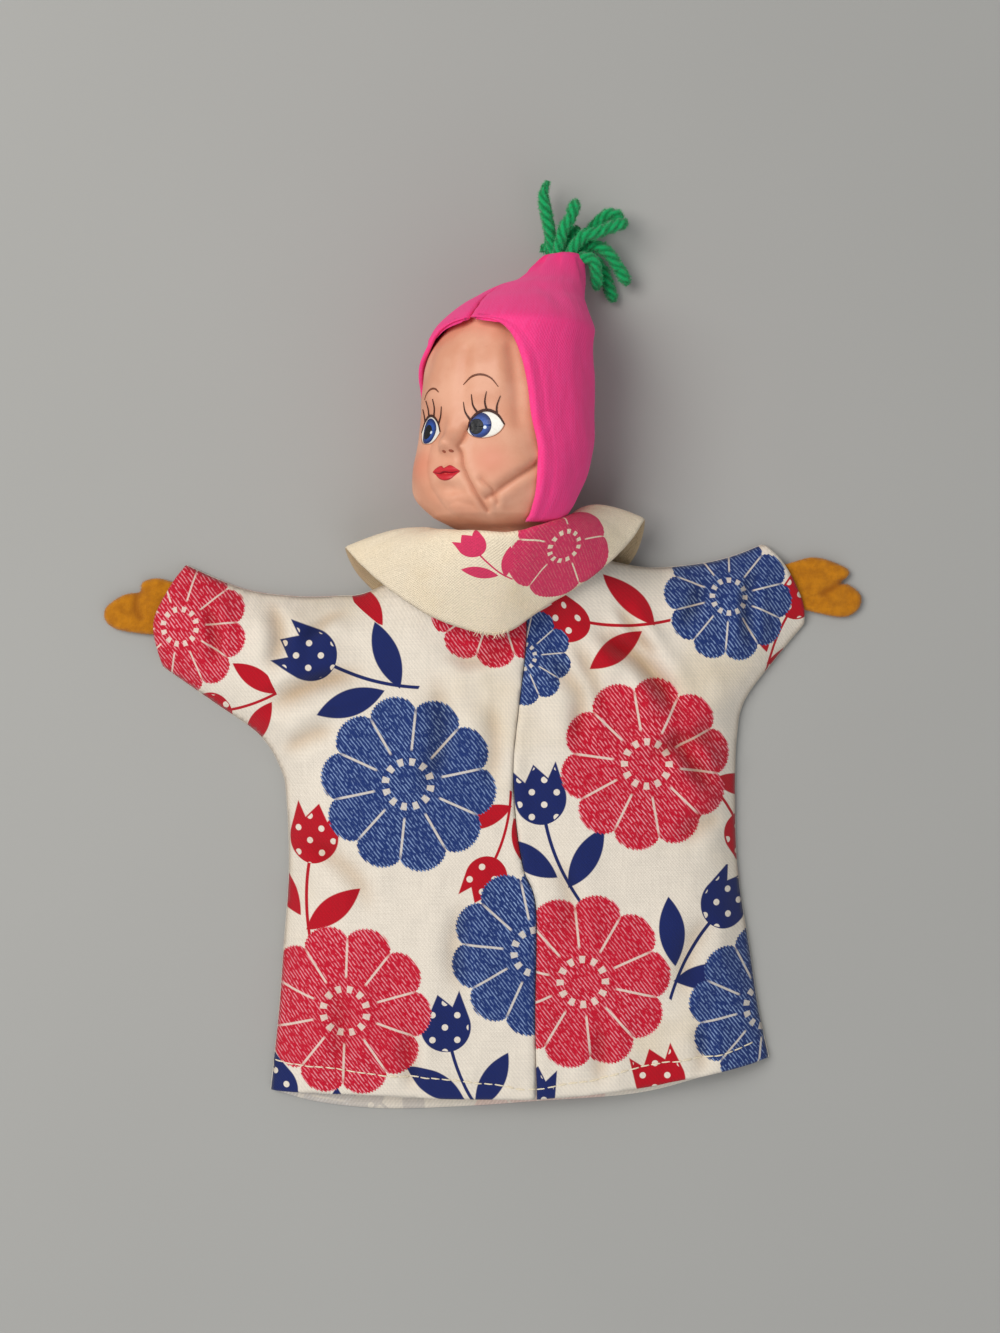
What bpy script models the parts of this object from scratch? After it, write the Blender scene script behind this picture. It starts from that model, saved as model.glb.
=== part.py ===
"""Elf hand puppet: a hollow moulded head in a pointed hood on a sewn cotton glove.

The puppet lies on its back on the plane z = 0. +Y runs from the hem to the head,
+X to the right of someone who looks down on it. Lengths are in metres.
"""

import math

import bmesh
import bpy
from mathutils import Vector

MM = 0.001

# Cloth, felt, shell and the gap left between pieces that touch
GAP = 0.3 * MM
COTTON_THICKNESS = 0.8 * MM
FLANNEL_THICKNESS = 1.2 * MM
FELT_THICKNESS = 1.6 * MM
SHELL_THICKNESS = 1.2 * MM
COLLAR_THICKNESS = 0.8 * MM
FACET_ROOM = 0.4 * MM
NECK_FACET_ROOM = 1.0 * MM
COLLAR_ROOM = 0.6 * MM

# Head
HEAD_X = 5.9 * MM
HEAD_Y = 63.0 * MM
HEAD_TURN = math.radians(35.5)
HEAD_NOD = 0.10
NECK_RADIUS = 12.5 * MM
NECK_SET_BACK = 3.0 * MM
NECK_START_Y = -28.0 * MM
NECK_LENGTH = 10.5 * MM
HEAD_REST_ROOM = 0.3 * MM

# Neck rings below the chin: share of the way down, share of the way to the neck's radius
NECK_RINGS = [(0.20, 0.50), (0.38, 0.94), (0.66, 1.0), (1.0, 1.0)]

# Head sections in millimetres, crown to chin: height, half width, front depth, back depth
HEAD_SECTIONS = [
    (36.0, 0.0, 0.0, 0.0),
    (33.5, 8.5, 8.5, 9.5),
    (28.0, 15.0, 15.5, 18.0),
    (20.0, 20.8, 20.8, 23.5),
    (10.0, 22.8, 23.6, 26.2),
    (0.0, 23.8, 23.6, 27.0),
    (-8.0, 25.0, 24.2, 24.5),
    (-15.0, 25.8, 24.8, 20.5),
    (-21.5, 23.5, 23.8, 15.5),
    (-26.5, 19.0, 20.5, 12.5),
]

# Raised and sunk places of the face: around, up, width, height and rise, in millimetres
FACE_FORMS = [
    (0.0, -7.4, 3.0, 3.0, 4.2),
    (0.0, -2.5, 2.6, 4.0, 1.3),
    (14.0, -13.0, 7.0, 7.0, 1.4),
    (-14.0, -13.0, 7.0, 7.0, 1.4),
    (0.0, -14.6, 3.6, 1.5, 1.3),
    (0.0, -17.4, 2.8, 1.5, 1.1),
    (0.0, -20.6, 4.5, 1.6, -0.8),
    (0.0, -25.0, 6.0, 3.6, 1.6),
    (9.4, -2.2, 5.0, 4.2, -0.9),
    (-9.4, -2.2, 5.0, 4.2, -0.9),
]

# Dents pressed into the shell: points (around, up), then width and depth, in millimetres
FACE_DENTS = [
    ([(4.0, -3.5), (3.0, -8.3), (3.6, -12.8), (5.4, -17.2), (7.6, -21.4), (9.6, -23.7)], 1.6, 1.3),
    ([(25.5, -14.0), (20.5, -17.0), (16.9, -19.2), (13.8, -21.0), (11.9, -22.0)], 1.8, 1.6),
    ([(-9.1, -7.2), (-9.1, -13.5), (-8.6, -19.5), (-6.5, -22.6), (-2.1, -27.0)], 1.8, 1.2),
    ([(3.2, 18.6), (3.6, 12.0), (3.3, 4.6)], 2.6, 1.0),
]
AROUND_UNIT = 25.0 * MM

# Hood: its front edge on each side (height, degrees around from the nose)
HOOD_BOTTOM_Y = -25.0 * MM
HOOD_PEAK_Y = 27.8 * MM
HOOD_EDGE_RIGHT = [
    (-25.0, 57.0),
    (-15.0, 57.0),
    (-8.0, 57.5),
    (0.0, 54.0),
    (11.0, 50.7),
    (18.4, 47.0),
    (25.0, 36.0),
    (27.8, 8.0),
]
HOOD_EDGE_LEFT = [
    (-25.0, 80.0),
    (-8.0, 80.0),
    (2.0, 77.0),
    (9.5, 69.0),
    (14.0, 58.0),
    (19.3, 43.0),
    (25.5, 25.0),
    (27.8, 8.0),
]

# Hood sections above the brow, in millimetres from the head's centre:
# height, centre x, centre z, half width, half depth
HOOD_SECTIONS = [
    (24.0, 2.0, 1.0, 23.6, 25.0),
    (28.5, 3.6, 0.2, 22.2, 24.2),
    (34.7, 6.6, -5.4, 19.6, 21.0),
    (38.2, 8.7, -9.0, 17.2, 17.6),
    (41.6, 11.1, -12.0, 14.4, 14.6),
    (44.6, 14.6, -15.0, 10.6, 11.4),
    (48.3, 16.6, -17.4, 8.4, 8.8),
    (51.7, 18.2, -18.9, 6.6, 7.0),
    (53.2, 18.8, -19.2, 5.6, 6.0),
    (53.9, 19.0, -19.3, 3.4, 3.6),
]
HOOD_BLEND_START = 16.0 * MM
HOOD_BLEND_END = 28.0 * MM
HOOD_SEAM_SWING = math.radians(34.0)

# Yarn ends: routes in millimetres, from the hood's tip outwards
YARN_RADIUS = 1.7 * MM
YARN_ROUTES = [
    [(20.8, 118.2, 8.8), (20.6, 121.5, 9.5), (19.6, 127.0, 10.5), (18.4, 133.0, 11.0), (19.6, 138.3, 11.5)],
    [(22.4, 118.2, 12.6), (24.0, 122.4, 13.2), (26.6, 127.4, 13.6), (28.4, 132.2, 13.6)],
    [(26.4, 118.2, 5.0), (30.6, 122.0, 5.2), (34.6, 126.6, 6.8), (38.4, 129.2, 8.0), (42.4, 128.0, 8.0)],
    [(26.6, 118.2, 12.6), (29.8, 121.0, 13.4), (34.5, 122.4, 13.6), (39.4, 124.4, 13.0), (43.6, 126.0, 12.0)],
    [(28.4, 118.2, 8.6), (32.4, 119.4, 8.8), (36.8, 118.2, 8.8), (40.6, 113.8, 7.4), (44.0, 108.2, 5.4)],
    [(30.2, 118.0, 4.8), (33.4, 116.4, 4.8), (36.6, 112.4, 4.2), (40.0, 103.6, 2.6)],
    [(30.8, 117.4, 12.4), (33.2, 114.4, 12.2), (34.2, 110.6, 10.6), (34.6, 106.2, 8.2)],
    [(22.4, 118.2, 4.8), (20.2, 119.4, 4.8), (17.4, 119.2, 4.0)],
    [(24.6, 118.2, 8.8), (26.4, 121.6, 8.8), (29.0, 125.0, 9.2)],
]
YARN_STEPS = 3

# Glove: width from one felt hand's root to the other, and length from the shoulders to
# the hem. The outlines below are drawn at 200 by 140 units and stretched to these sizes.
GLOVE_SPAN = 200.0 * MM
BODY_LENGTH = 140.0 * MM
UNITS_ACROSS = 200.0
UNITS_DOWN = 140.0

# Side edges from the neck to the hem. The two neck points are worked out from the
# neck's radius and put in front of these lists.
LEFT_SHOULDER = [(-33.7, 16.3), (-44.4, 14.6), (-57.5, 14.5), (-73.0, 16.8), (-90.2, 24.0)]
LEFT_CUFF = [(-90.2, 24.0), (-95.0, 16.6), (-99.6, 5.6), (-97.2, -7.2)]
LEFT_SIDE = [
    (-97.2, -7.2),
    (-81.0, -18.5),
    (-70.3, -25.8),
    (-65.1, -31.3),
    (-61.6, -38.0),
    (-59.9, -45.0),
    (-59.0, -68.2),
    (-60.8, -94.4),
    (-62.1, -112.0),
    (-64.6, -135.6),
]
RIGHT_SHOULDER = [(39.8, 25.2), (50.5, 23.2), (64.5, 24.2), (75.0, 26.4), (85.6, 30.4)]
RIGHT_CUFF = [(85.6, 30.4), (91.6, 24.0), (97.0, 13.0), (98.0, 5.9)]
RIGHT_SIDE = [
    (98.0, 5.9),
    (89.2, -4.7),
    (79.8, -17.5),
    (77.5, -29.1),
    (77.0, -44.4),
    (77.3, -61.8),
    (78.5, -74.9),
    (81.3, -92.3),
    (84.0, -110.6),
    (87.4, -125.8),
]
FRONT_HEM_LEFT = [(-64.6, -135.6), (-44.7, -135.5), (-30.0, -136.0), (-17.2, -136.6), (2.9, -137.0)]
FRONT_HEM_RIGHT = [(26.4, -136.2), (46.8, -133.8), (57.5, -131.5), (68.2, -129.6), (87.4, -125.8)]
BACK_HEM = [
    (-64.6, -135.6),
    (-50.0, -139.6),
    (-30.0, -141.6),
    (-7.2, -141.0),
    (16.0, -139.4),
    (46.8, -137.0),
    (68.2, -131.6),
    (87.4, -125.8),
]
CENTRE_SEAM = [
    (13.3, 4.0),
    (11.1, -18.0),
    (9.3, -35.5),
    (9.9, -51.0),
    (12.2, -67.0),
    (16.0, -79.0),
    (15.8, -112.0),
    (16.3, -137.0),
]
NECK_SEAM_SHIFT = 4.0 * MM
SEAM_GAP = 0.4 * MM
NECK_EDGE_Y = 28.0 * MM
FRONT_RISE_START_Y = 1.0 * MM
BACK_RISE_START_Y = -10.0 * MM
NECK_RISE_END_Y = 24.0 * MM
SHOULDER_FALL_START = 16.0 * MM
SHOULDER_FALL_END = 48.0 * MM
GLOVE_LOFT = 13.5 * MM
GLOVE_LOFT_RUN = 10.0 * MM
CUFF_LOFT_SHARE = 0.45
HEM_LOFT_SHARE = 0.55
HEM_LOFT_RUN = 30.0 * MM
GLOVE_CELL = 8.0 * MM
SMALLEST_CELL_EDGE = 1.2 * MM
SHOULDER_EASE = 1.6 * MM

# Soft folds on the front: points on the outline's units, then width and depth in millimetres
FRONT_FOLDS = [
    ([(38.0, 5.0), (52.0, -5.0), (60.0, -15.0)], 6.0, 2.2),
    ([(30.0, -23.0), (41.0, -13.0)], 4.0, 1.0),
    ([(-20.0, -10.0), (-38.0, -2.0), (-60.0, 0.0)], 5.0, 1.2),
]

# Collar: outer edge points in millimetres, anticlockwise seen from the feet, starting at
# the right-hand tip, with the control points that the sheet bends over
COLLAR_EDGE = [
    (48.4, 36.4, 14.0),
    (43.2, 29.6, 19.0),
    (34.2, 21.4, 23.5),
    (19.4, 11.6, 24.0),
    (5.2, 2.6, 22.5),
    (-12.8, 7.6, 22.0),
    (-26.0, 14.6, 21.0),
    (-34.4, 22.2, 17.0),
    (-40.8, 28.2, 12.5),
    (-37.0, 20.0, 2.8),
    (-26.0, 11.0, 1.2),
    (-10.0, 7.0, 0.9),
    (6.0, 6.0, 0.9),
    (22.0, 8.5, 0.9),
    (36.0, 15.0, 1.4),
    (46.2, 26.5, 5.0),
]
COLLAR_BEND = [
    (25.5, 46.0, 21.0),
    (25.5, 43.0, 32.0),
    (23.5, 37.0, 41.0),
    (16.0, 33.0, 48.0),
    (7.5, 31.0, 49.5),
    (-1.5, 32.0, 48.0),
    (-10.0, 34.0, 41.0),
    (-14.0, 36.0, 31.0),
    (-15.5, 38.5, 21.0),
    (-14.0, 36.0, 6.0),
    (-9.0, 32.0, 2.0),
    (-1.0, 30.0, 1.4),
    (7.6, 30.0, 1.2),
    (16.0, 31.0, 1.4),
    (23.0, 35.0, 3.0),
    (27.0, 41.0, 10.0),
]
COLLAR_RING_Y = 30.0 * MM

# Felt hands: flat outlines in the glove outlines' units
HAND_LEFT_OUTLINE = [
    (-88.4, 12.0),
    (-88.4, 17.6),
    (-94.0, 18.6),
    (-98.8, 19.8),
    (-103.2, 18.6),
    (-104.4, 15.6),
    (-108.8, 14.8),
    (-113.6, 11.8),
    (-115.0, 9.0),
    (-114.0, 6.2),
    (-110.6, 4.2),
    (-103.2, 3.0),
    (-97.0, 2.6),
    (-90.0, 1.6),
    (-89.0, 6.0),
]
HAND_RIGHT_OUTLINE = [
    (88.0, 21.6),
    (97.4, 25.6),
    (102.2, 26.0),
    (107.4, 24.4),
    (111.2, 22.4),
    (111.0, 20.4),
    (108.6, 18.4),
    (111.4, 17.8),
    (115.0, 14.6),
    (114.4, 10.8),
    (111.2, 8.4),
    (107.4, 8.2),
    (102.4, 9.2),
    (94.6, 11.2),
    (88.6, 13.6),
]

# Mesh fineness
MERGE_DISTANCE = 0.01 * MM
ON_LINE = 0.02 * MM
HEIGHT_SEARCH_STEPS = 24
STEEPEST_SLOPE_FACTOR = 2.4
HEAD_COLUMNS = 40
HEAD_ROWS = 26
HOOD_COLUMNS = 11
HOOD_ROWS = 25
COLLAR_COLUMNS = 48
COLLAR_ROWS = 6

COLOURS = {
    "skin": ((0.78, 0.42, 0.26, 1.0), 0.42),
    "flannel": ((1.0, 0.06, 0.30, 1.0), 0.9),
    "yarn": ((0.01, 0.26, 0.08, 1.0), 0.95),
    "cotton": ((0.83, 0.76, 0.64, 1.0), 0.85),
    "collar_cotton": ((0.82, 0.70, 0.47, 1.0), 0.88),
    "felt": ((0.58, 0.24, 0.01, 1.0), 0.95),
}


def clear_scene():
    """Remove whatever the open file holds."""
    for item in list(bpy.data.objects):
        bpy.data.objects.remove(item, do_unlink=True)


def make_materials():
    """Make one Principled material for each finish."""
    materials = {}
    for name, (colour, roughness) in COLOURS.items():
        material = bpy.data.materials.new(name)
        material.use_nodes = True
        shader = material.node_tree.nodes["Principled BSDF"]
        shader.inputs["Base Color"].default_value = colour
        shader.inputs["Roughness"].default_value = roughness
        shader.inputs["Metallic"].default_value = 0.0
        material.diffuse_color = colour
        materials[name] = material
    return materials


def smoothstep(low, high, value):
    """Rise smoothly from 0 at low to 1 at high."""
    share = min(max((value - low) / (high - low), 0.0), 1.0)
    return share * share * (3.0 - 2.0 * share)


def curve_through(points, position):
    """Point at a position, counted in points, on the smooth curve through them."""
    last = len(points) - 1
    index = min(int(position), last - 1)
    share = position - index
    before = points[max(index - 1, 0)]
    start = points[index]
    end = points[index + 1]
    after = points[min(index + 2, last)]
    return blend_four(before, start, end, after, share)


def ring_through(points, position):
    """Point at a position, counted in points, on the closed smooth curve through them."""
    count = len(points)
    index = int(math.floor(position))
    share = position - index
    corners = [points[(index + step) % count] for step in (-1, 0, 1, 2)]
    return blend_four(*corners, share)


def blend_four(before, start, end, after, share):
    """Catmull-Rom blend of four rows of numbers."""
    result = []
    for a, b, c, d in zip(before, start, end, after):
        slope = c - a
        bend = 2.0 * a - 5.0 * b + 4.0 * c - d
        twist = -a + 3.0 * b - 3.0 * c + d
        result.append(0.5 * (2.0 * b + slope * share + bend * share**2 + twist * share**3))
    return result


def value_at_height(rows, height):
    """Straight-line value from (height, value) rows in millimetres, as the row gives it."""
    height_mm = height / MM
    if height_mm <= rows[0][0]:
        return rows[0][1]
    for low, high in zip(rows, rows[1:]):
        if height_mm <= high[0]:
            share = (height_mm - low[0]) / (high[0] - low[0])
            return low[1] + share * (high[1] - low[1])
    return rows[-1][1]


def distance_to_path(x, y, path):
    """Distance in the plane from a point to a line of straight pieces."""
    nearest = math.inf
    for (ax, ay), (bx, by) in zip(path, path[1:]):
        length_squared = (bx - ax) ** 2 + (by - ay) ** 2
        share = ((x - ax) * (bx - ax) + (y - ay) * (by - ay)) / length_squared
        share = min(max(share, 0.0), 1.0)
        nearest = min(nearest, math.hypot(x - ax - share * (bx - ax), y - ay - share * (by - ay)))
    return nearest


def in_metres(points):
    """Points given in millimetres, in metres."""
    return [tuple(value * MM for value in point) for point in points]


def on_pattern(points):
    """Points of the glove's outlines in metres, stretched to its span and body length."""
    across = GLOVE_SPAN / UNITS_ACROSS
    down = BODY_LENGTH / UNITS_DOWN
    return [(x * across, y * (down if y < 0.0 else MM)) for x, y in points]


def add_object(name, mesh, material, collection, root):
    """Put a mesh in the scene as a named sub-part."""
    mesh.materials.append(material)
    item = bpy.data.objects.new(name, mesh)
    collection.objects.link(item)
    item.parent = root
    return item


def mesh_from(work, name):
    """Turn a finished bmesh into a smooth-shaded mesh."""
    mesh = bpy.data.meshes.new(name)
    work.to_mesh(mesh)
    work.free()
    mesh.shade_smooth()
    return mesh


def grid_mesh(name, columns, rows, place, closed=False, flip=False):
    """Grid of columns by rows cells, each corner moved to place(across, up), both 0 to 1."""
    work = bmesh.new()
    bmesh.ops.create_grid(work, x_segments=columns, y_segments=rows, size=0.5)
    for vertex in work.verts:
        vertex.co = place(vertex.co.x + 0.5, vertex.co.y + 0.5)
    if closed:
        bmesh.ops.remove_doubles(work, verts=work.verts, dist=MERGE_DISTANCE)
    if flip:
        bmesh.ops.reverse_faces(work, faces=work.faces)
    return mesh_from(work, name)


def thicken(item, thickness, even=True):
    """Give a sheet its thickness, inwards from its outer face."""
    solid = item.modifiers.new("Thickness", "SOLIDIFY")
    solid.thickness = thickness
    solid.offset = -1.0
    solid.use_even_offset = even


def head_section(position):
    """Height, half width, front depth, back depth and centre depth of one head section."""
    last = len(HEAD_SECTIONS) - 1
    if position < 1.0:
        mirrored = [HEAD_SECTIONS[1][0]] + [-value for value in HEAD_SECTIONS[1][1:]]
        values = blend_four(mirrored, HEAD_SECTIONS[0], HEAD_SECTIONS[1], HEAD_SECTIONS[2], position)
    else:
        values = curve_through(HEAD_SECTIONS, min(position, last))
    return [value * MM for value in values]


def head_rows():
    """Sections of the whole head, crown to neck, with the neck's own rings."""
    rows = []
    last = len(HEAD_SECTIONS) - 1
    skull_rows = HEAD_ROWS - len(NECK_RINGS)
    for index in range(skull_rows + 1):
        height, half_width, front, back = head_section(last * index / skull_rows)
        rows.append((height, half_width, front, back, 0.0))
    chin = rows[-1]
    bottom = chin[0]
    neck_end = NECK_START_Y - NECK_LENGTH
    for share, tight in NECK_RINGS:
        height = bottom + (neck_end - bottom) * share
        sizes = [size + (NECK_RADIUS - size) * tight for size in chin[1:4]]
        rows.append((height, *sizes, -NECK_SET_BACK * tight))
    return rows


def face_relief(around, height):
    """How far the face stands out of, or is pressed into, the plain head."""
    across = around * AROUND_UNIT / MM
    up = height / MM
    rise = 0.0
    for centre_across, centre_up, width, tall, amount in FACE_FORMS:
        spread = ((across - centre_across) / width) ** 2 + ((up - centre_up) / tall) ** 2
        rise += amount * math.exp(-spread)
    for path, width, depth in FACE_DENTS:
        away = distance_to_path(across, up, path)
        rise -= depth * math.exp(-((away / width) ** 2))
    return rise * MM


def section_radius(around, half_width, front, back):
    """Radius of an egg-shaped section in one direction, 0 being towards the nose."""
    depth = front if math.cos(around) >= 0.0 else back
    if depth <= 0.0 or half_width <= 0.0:
        return 0.0
    return 1.0 / math.hypot(math.cos(around) / depth, math.sin(around) / half_width)


def head_centre_z():
    """Height of the head's centre when the hood's back rests on the table."""
    down = math.pi - HEAD_TURN
    middle = HEAD_SECTIONS[5]
    radius = section_radius(down, middle[1] * MM, middle[2] * MM, middle[3] * MM)
    return radius + GAP + FACET_ROOM + FLANNEL_THICKNESS + HEAD_REST_ROOM


def turned_point(around, radius, height, centre_depth):
    """World point of the head for a direction around, a radius and a height."""
    world_angle = around - HEAD_TURN
    nod = HEAD_NOD * max(height, NECK_START_Y)
    x = HEAD_X + radius * math.sin(world_angle) - centre_depth * math.sin(HEAD_TURN)
    z = head_centre_z() + radius * math.cos(world_angle) + centre_depth * math.cos(HEAD_TURN) + nod
    return Vector((x, HEAD_Y + height, z))


def neck_centre():
    """World x and z of the neck's axis."""
    point = turned_point(0.0, 0.0, NECK_START_Y, -NECK_SET_BACK)
    return point.x, point.z


def skull_radius(around, height):
    """Radius of the plain head in one direction, with the face's relief, at a height."""
    low = 0.0
    high = float(len(HEAD_SECTIONS) - 1)
    for _ in range(HEIGHT_SEARCH_STEPS):
        middle = 0.5 * (low + high)
        if head_section(middle)[0] > height:
            low = middle
        else:
            high = middle
    _, half_width, front, back = head_section(low)
    return section_radius(around, half_width, front, back) + face_relief(around, height)


def head_surface(around, height, offset):
    """Point an offset away from the head's surface, at a height above the head's centre."""
    radius = skull_radius(around, height)
    step = 1.0 * MM
    slope = (skull_radius(around, height + step) - skull_radius(around, height - step)) / (2.0 * step)
    steepness = min(math.hypot(1.0, slope), STEEPEST_SLOPE_FACTOR)
    return turned_point(around, radius + offset * steepness, height, 0.0)


def build_head(materials, collection, root):
    """Hollow moulded shell, open at the neck."""
    rows = head_rows()

    def place(across, up):
        """Point of the shell's outside."""
        row = rows[min(int(round((1.0 - up) * HEAD_ROWS)), HEAD_ROWS)]
        around = 2.0 * math.pi * (across - 0.5)
        radius = section_radius(around, *row[1:4])
        if radius > 0.0 and row[0] > NECK_START_Y:
            radius += face_relief(around, row[0])
        return turned_point(around, radius, row[0], row[4])

    mesh = grid_mesh("head_shell", HEAD_COLUMNS, HEAD_ROWS, place, closed=True)
    head = add_object("head_shell", mesh, materials["skin"], collection, root)
    thicken(head, SHELL_THICKNESS)


def hood_cone(around, height):
    """Point on the pointed part of the hood, whose sections hang free of the head."""
    heights = [row[0] for row in HOOD_SECTIONS]
    height_mm = max(height / MM, heights[0])
    index = 0
    while index < len(heights) - 2 and heights[index + 1] < height_mm:
        index += 1
    share = (height_mm - heights[index]) / (heights[index + 1] - heights[index])
    low = HOOD_SECTIONS[index]
    high = HOOD_SECTIONS[index + 1]
    _, centre_x, centre_z, half_width, half_depth = [a + (b - a) * share for a, b in zip(low, high)]
    angle = around - HEAD_TURN
    x = HEAD_X + (centre_x + half_width * math.sin(angle)) * MM
    z = head_centre_z() + (centre_z + half_depth * math.cos(angle)) * MM
    return Vector((x, HEAD_Y + height, z))


def hood_point(around, height):
    """Point on the hood's outside."""
    offset = GAP + FACET_ROOM + FLANNEL_THICKNESS
    share = smoothstep(HOOD_BLEND_START, HOOD_BLEND_END, height)
    top = HOOD_SECTIONS[-1][0] * MM
    swing = HOOD_SEAM_SWING * smoothstep(HOOD_PEAK_Y, top, height)
    cone = hood_cone(around - swing, height)
    if share >= 1.0:
        return cone
    return head_surface(around, height, offset).lerp(cone, share)


def build_hood(materials, collection, root):
    """Two flannel halves that meet along the seam from the brow over the tip to the nape."""
    top = HOOD_SECTIONS[-1][0] * MM
    for name, side, edge_rows in (("hood_right", 1.0, HOOD_EDGE_RIGHT), ("hood_left", -1.0, HOOD_EDGE_LEFT)):

        def place(across, up):
            """Point of this half, from its front edge to the back seam."""
            height = HOOD_BOTTOM_Y + (top - HOOD_BOTTOM_Y) * up
            seam = GAP / hood_half_width(height)
            front = seam
            if height < HOOD_PEAK_Y:
                front = max(math.radians(value_at_height(edge_rows, height)), seam)
            around = front + (math.pi - seam - front) * across
            return hood_point(side * around, height)

        mesh = grid_mesh(name, HOOD_COLUMNS, HOOD_ROWS, place, flip=side < 0.0)
        half = add_object(name, mesh, materials["flannel"], collection, root)
        thicken(half, FLANNEL_THICKNESS)


def hood_half_width(height):
    """Rough half width of the hood, for the seam's gap."""
    sections = [(row[0], row[3]) for row in HOOD_SECTIONS]
    return value_at_height(sections, height) * MM - FLANNEL_THICKNESS


def build_yarns(materials, collection, root):
    """Yarn ends that spread from the hood's tip, one object each."""
    for number, route in enumerate(YARN_ROUTES, start=1):
        name = f"yarn_{number}"
        points = in_metres(route)
        count = (len(points) - 1) * YARN_STEPS
        line = bpy.data.curves.new(name, "CURVE")
        line.dimensions = "3D"
        line.bevel_depth = YARN_RADIUS
        line.bevel_resolution = 2
        line.use_fill_caps = True
        spline = line.splines.new("POLY")
        spline.points.add(count)
        for index in range(count + 1):
            spline.points[index].co = (*curve_through(points, index / YARN_STEPS), 1.0)
        line.materials.append(materials["yarn"])
        item = bpy.data.objects.new(name, line)
        collection.objects.link(item)
        item.parent = root


def neck_cloth_radius():
    """Outer radius of the glove's neck, with room for the facets of its mesh."""
    return NECK_RADIUS + GAP + NECK_FACET_ROOM + COTTON_THICKNESS


def shoulder_path(points, side):
    """Shoulder edge from the neck's side to the cuff."""
    centre_x, _ = neck_centre()
    wrap = neck_cloth_radius() * math.pi / 2.0
    return [(centre_x + side * wrap, NECK_EDGE_Y)] + on_pattern(points)


def glove_paths():
    """The glove's edges as named lines."""
    return {
        "left_shoulder": shoulder_path(LEFT_SHOULDER, -1.0),
        "left_cuff": on_pattern(LEFT_CUFF),
        "left_side": on_pattern(LEFT_SIDE),
        "right_shoulder": shoulder_path(RIGHT_SHOULDER, 1.0),
        "right_cuff": on_pattern(RIGHT_CUFF),
        "right_side": on_pattern(RIGHT_SIDE),
    }


def closing(distance):
    """How far the front has risen off the back at a distance from a sewn edge."""
    return 1.0 - math.exp(-distance / GLOVE_LOFT_RUN)


def glove_loft(x, y, paths):
    """Height of the front above the sewn edges: a soft pillow, open at the hem."""
    rise = GLOVE_LOFT
    for name in ("left_shoulder", "left_side", "right_shoulder", "right_side"):
        rise *= closing(distance_to_path(x, y, paths[name]))
    for name in ("left_cuff", "right_cuff"):
        rise *= CUFF_LOFT_SHARE + (1.0 - CUFF_LOFT_SHARE) * closing(distance_to_path(x, y, paths[name]))
    hem_y = min(point[1] for point in on_pattern(BACK_HEM))
    hem = 1.0 - math.exp(-(y - hem_y) / HEM_LOFT_RUN)
    rise *= HEM_LOFT_SHARE + (1.0 - HEM_LOFT_SHARE) * hem
    for path, width, depth in FRONT_FOLDS:
        away = distance_to_path(x, y, on_pattern(path)) / (width * MM)
        rise -= depth * MM * math.exp(-(away**2)) * rise / GLOVE_LOFT
    return rise


def neck_wrap(x, side):
    """Where a point of the sheet goes on the neck's tube; side is 1 in front, -1 behind."""
    centre_x, centre_z = neck_centre()
    radius = neck_cloth_radius()
    across = x - centre_x
    if abs(across) <= radius * math.pi / 2.0:
        angle = across / radius
        return centre_x + radius * math.sin(angle), centre_z + side * radius * math.cos(angle)
    beyond = abs(across) - radius * math.pi / 2.0
    return centre_x + math.copysign(radius + beyond, across), centre_z


def neck_share(x, y, start_y):
    """How much of the way from the flat glove to the neck's tube a point has gone."""
    centre_x, _ = neck_centre()
    along = smoothstep(start_y, NECK_RISE_END_Y, y)
    return along * (1.0 - smoothstep(SHOULDER_FALL_START, SHOULDER_FALL_END, abs(x - centre_x)))


def front_place(x, y, paths):
    """Point of the front's outer face above a point of the flat pattern."""
    edge = 2.0 * COTTON_THICKNESS + GAP
    flat = Vector((x, y, edge + glove_loft(x, y, paths)))
    wrapped_x, wrapped_z = neck_wrap(x, 1.0)
    wrap = neck_cloth_radius() * math.pi / 2.0
    beside = smoothstep(0.5 * wrap, wrap, abs(x - neck_centre()[0]))
    tube = Vector((wrapped_x, y, wrapped_z + edge * beside))
    front = flat.lerp(tube, neck_share(x, y, FRONT_RISE_START_Y))
    back_share = neck_share(x, y, BACK_RISE_START_Y)
    lowest = back_share * centre_height() * beside + edge
    ease = SHOULDER_EASE * 4.0 * back_share * (1.0 - back_share)
    front.z = max(front.z, lowest) + ease * beside
    return front


def centre_height():
    """Height of the neck's axis above the table."""
    return neck_centre()[1]


def back_place(x, y):
    """Point of the back's outer face, flat on the table away from the neck."""
    wrapped_x, wrapped_z = neck_wrap(x, -1.0)
    share = neck_share(x, y, BACK_RISE_START_Y)
    return Vector((x, y, 0.0)).lerp(Vector((wrapped_x, y, wrapped_z)), share)


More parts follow.
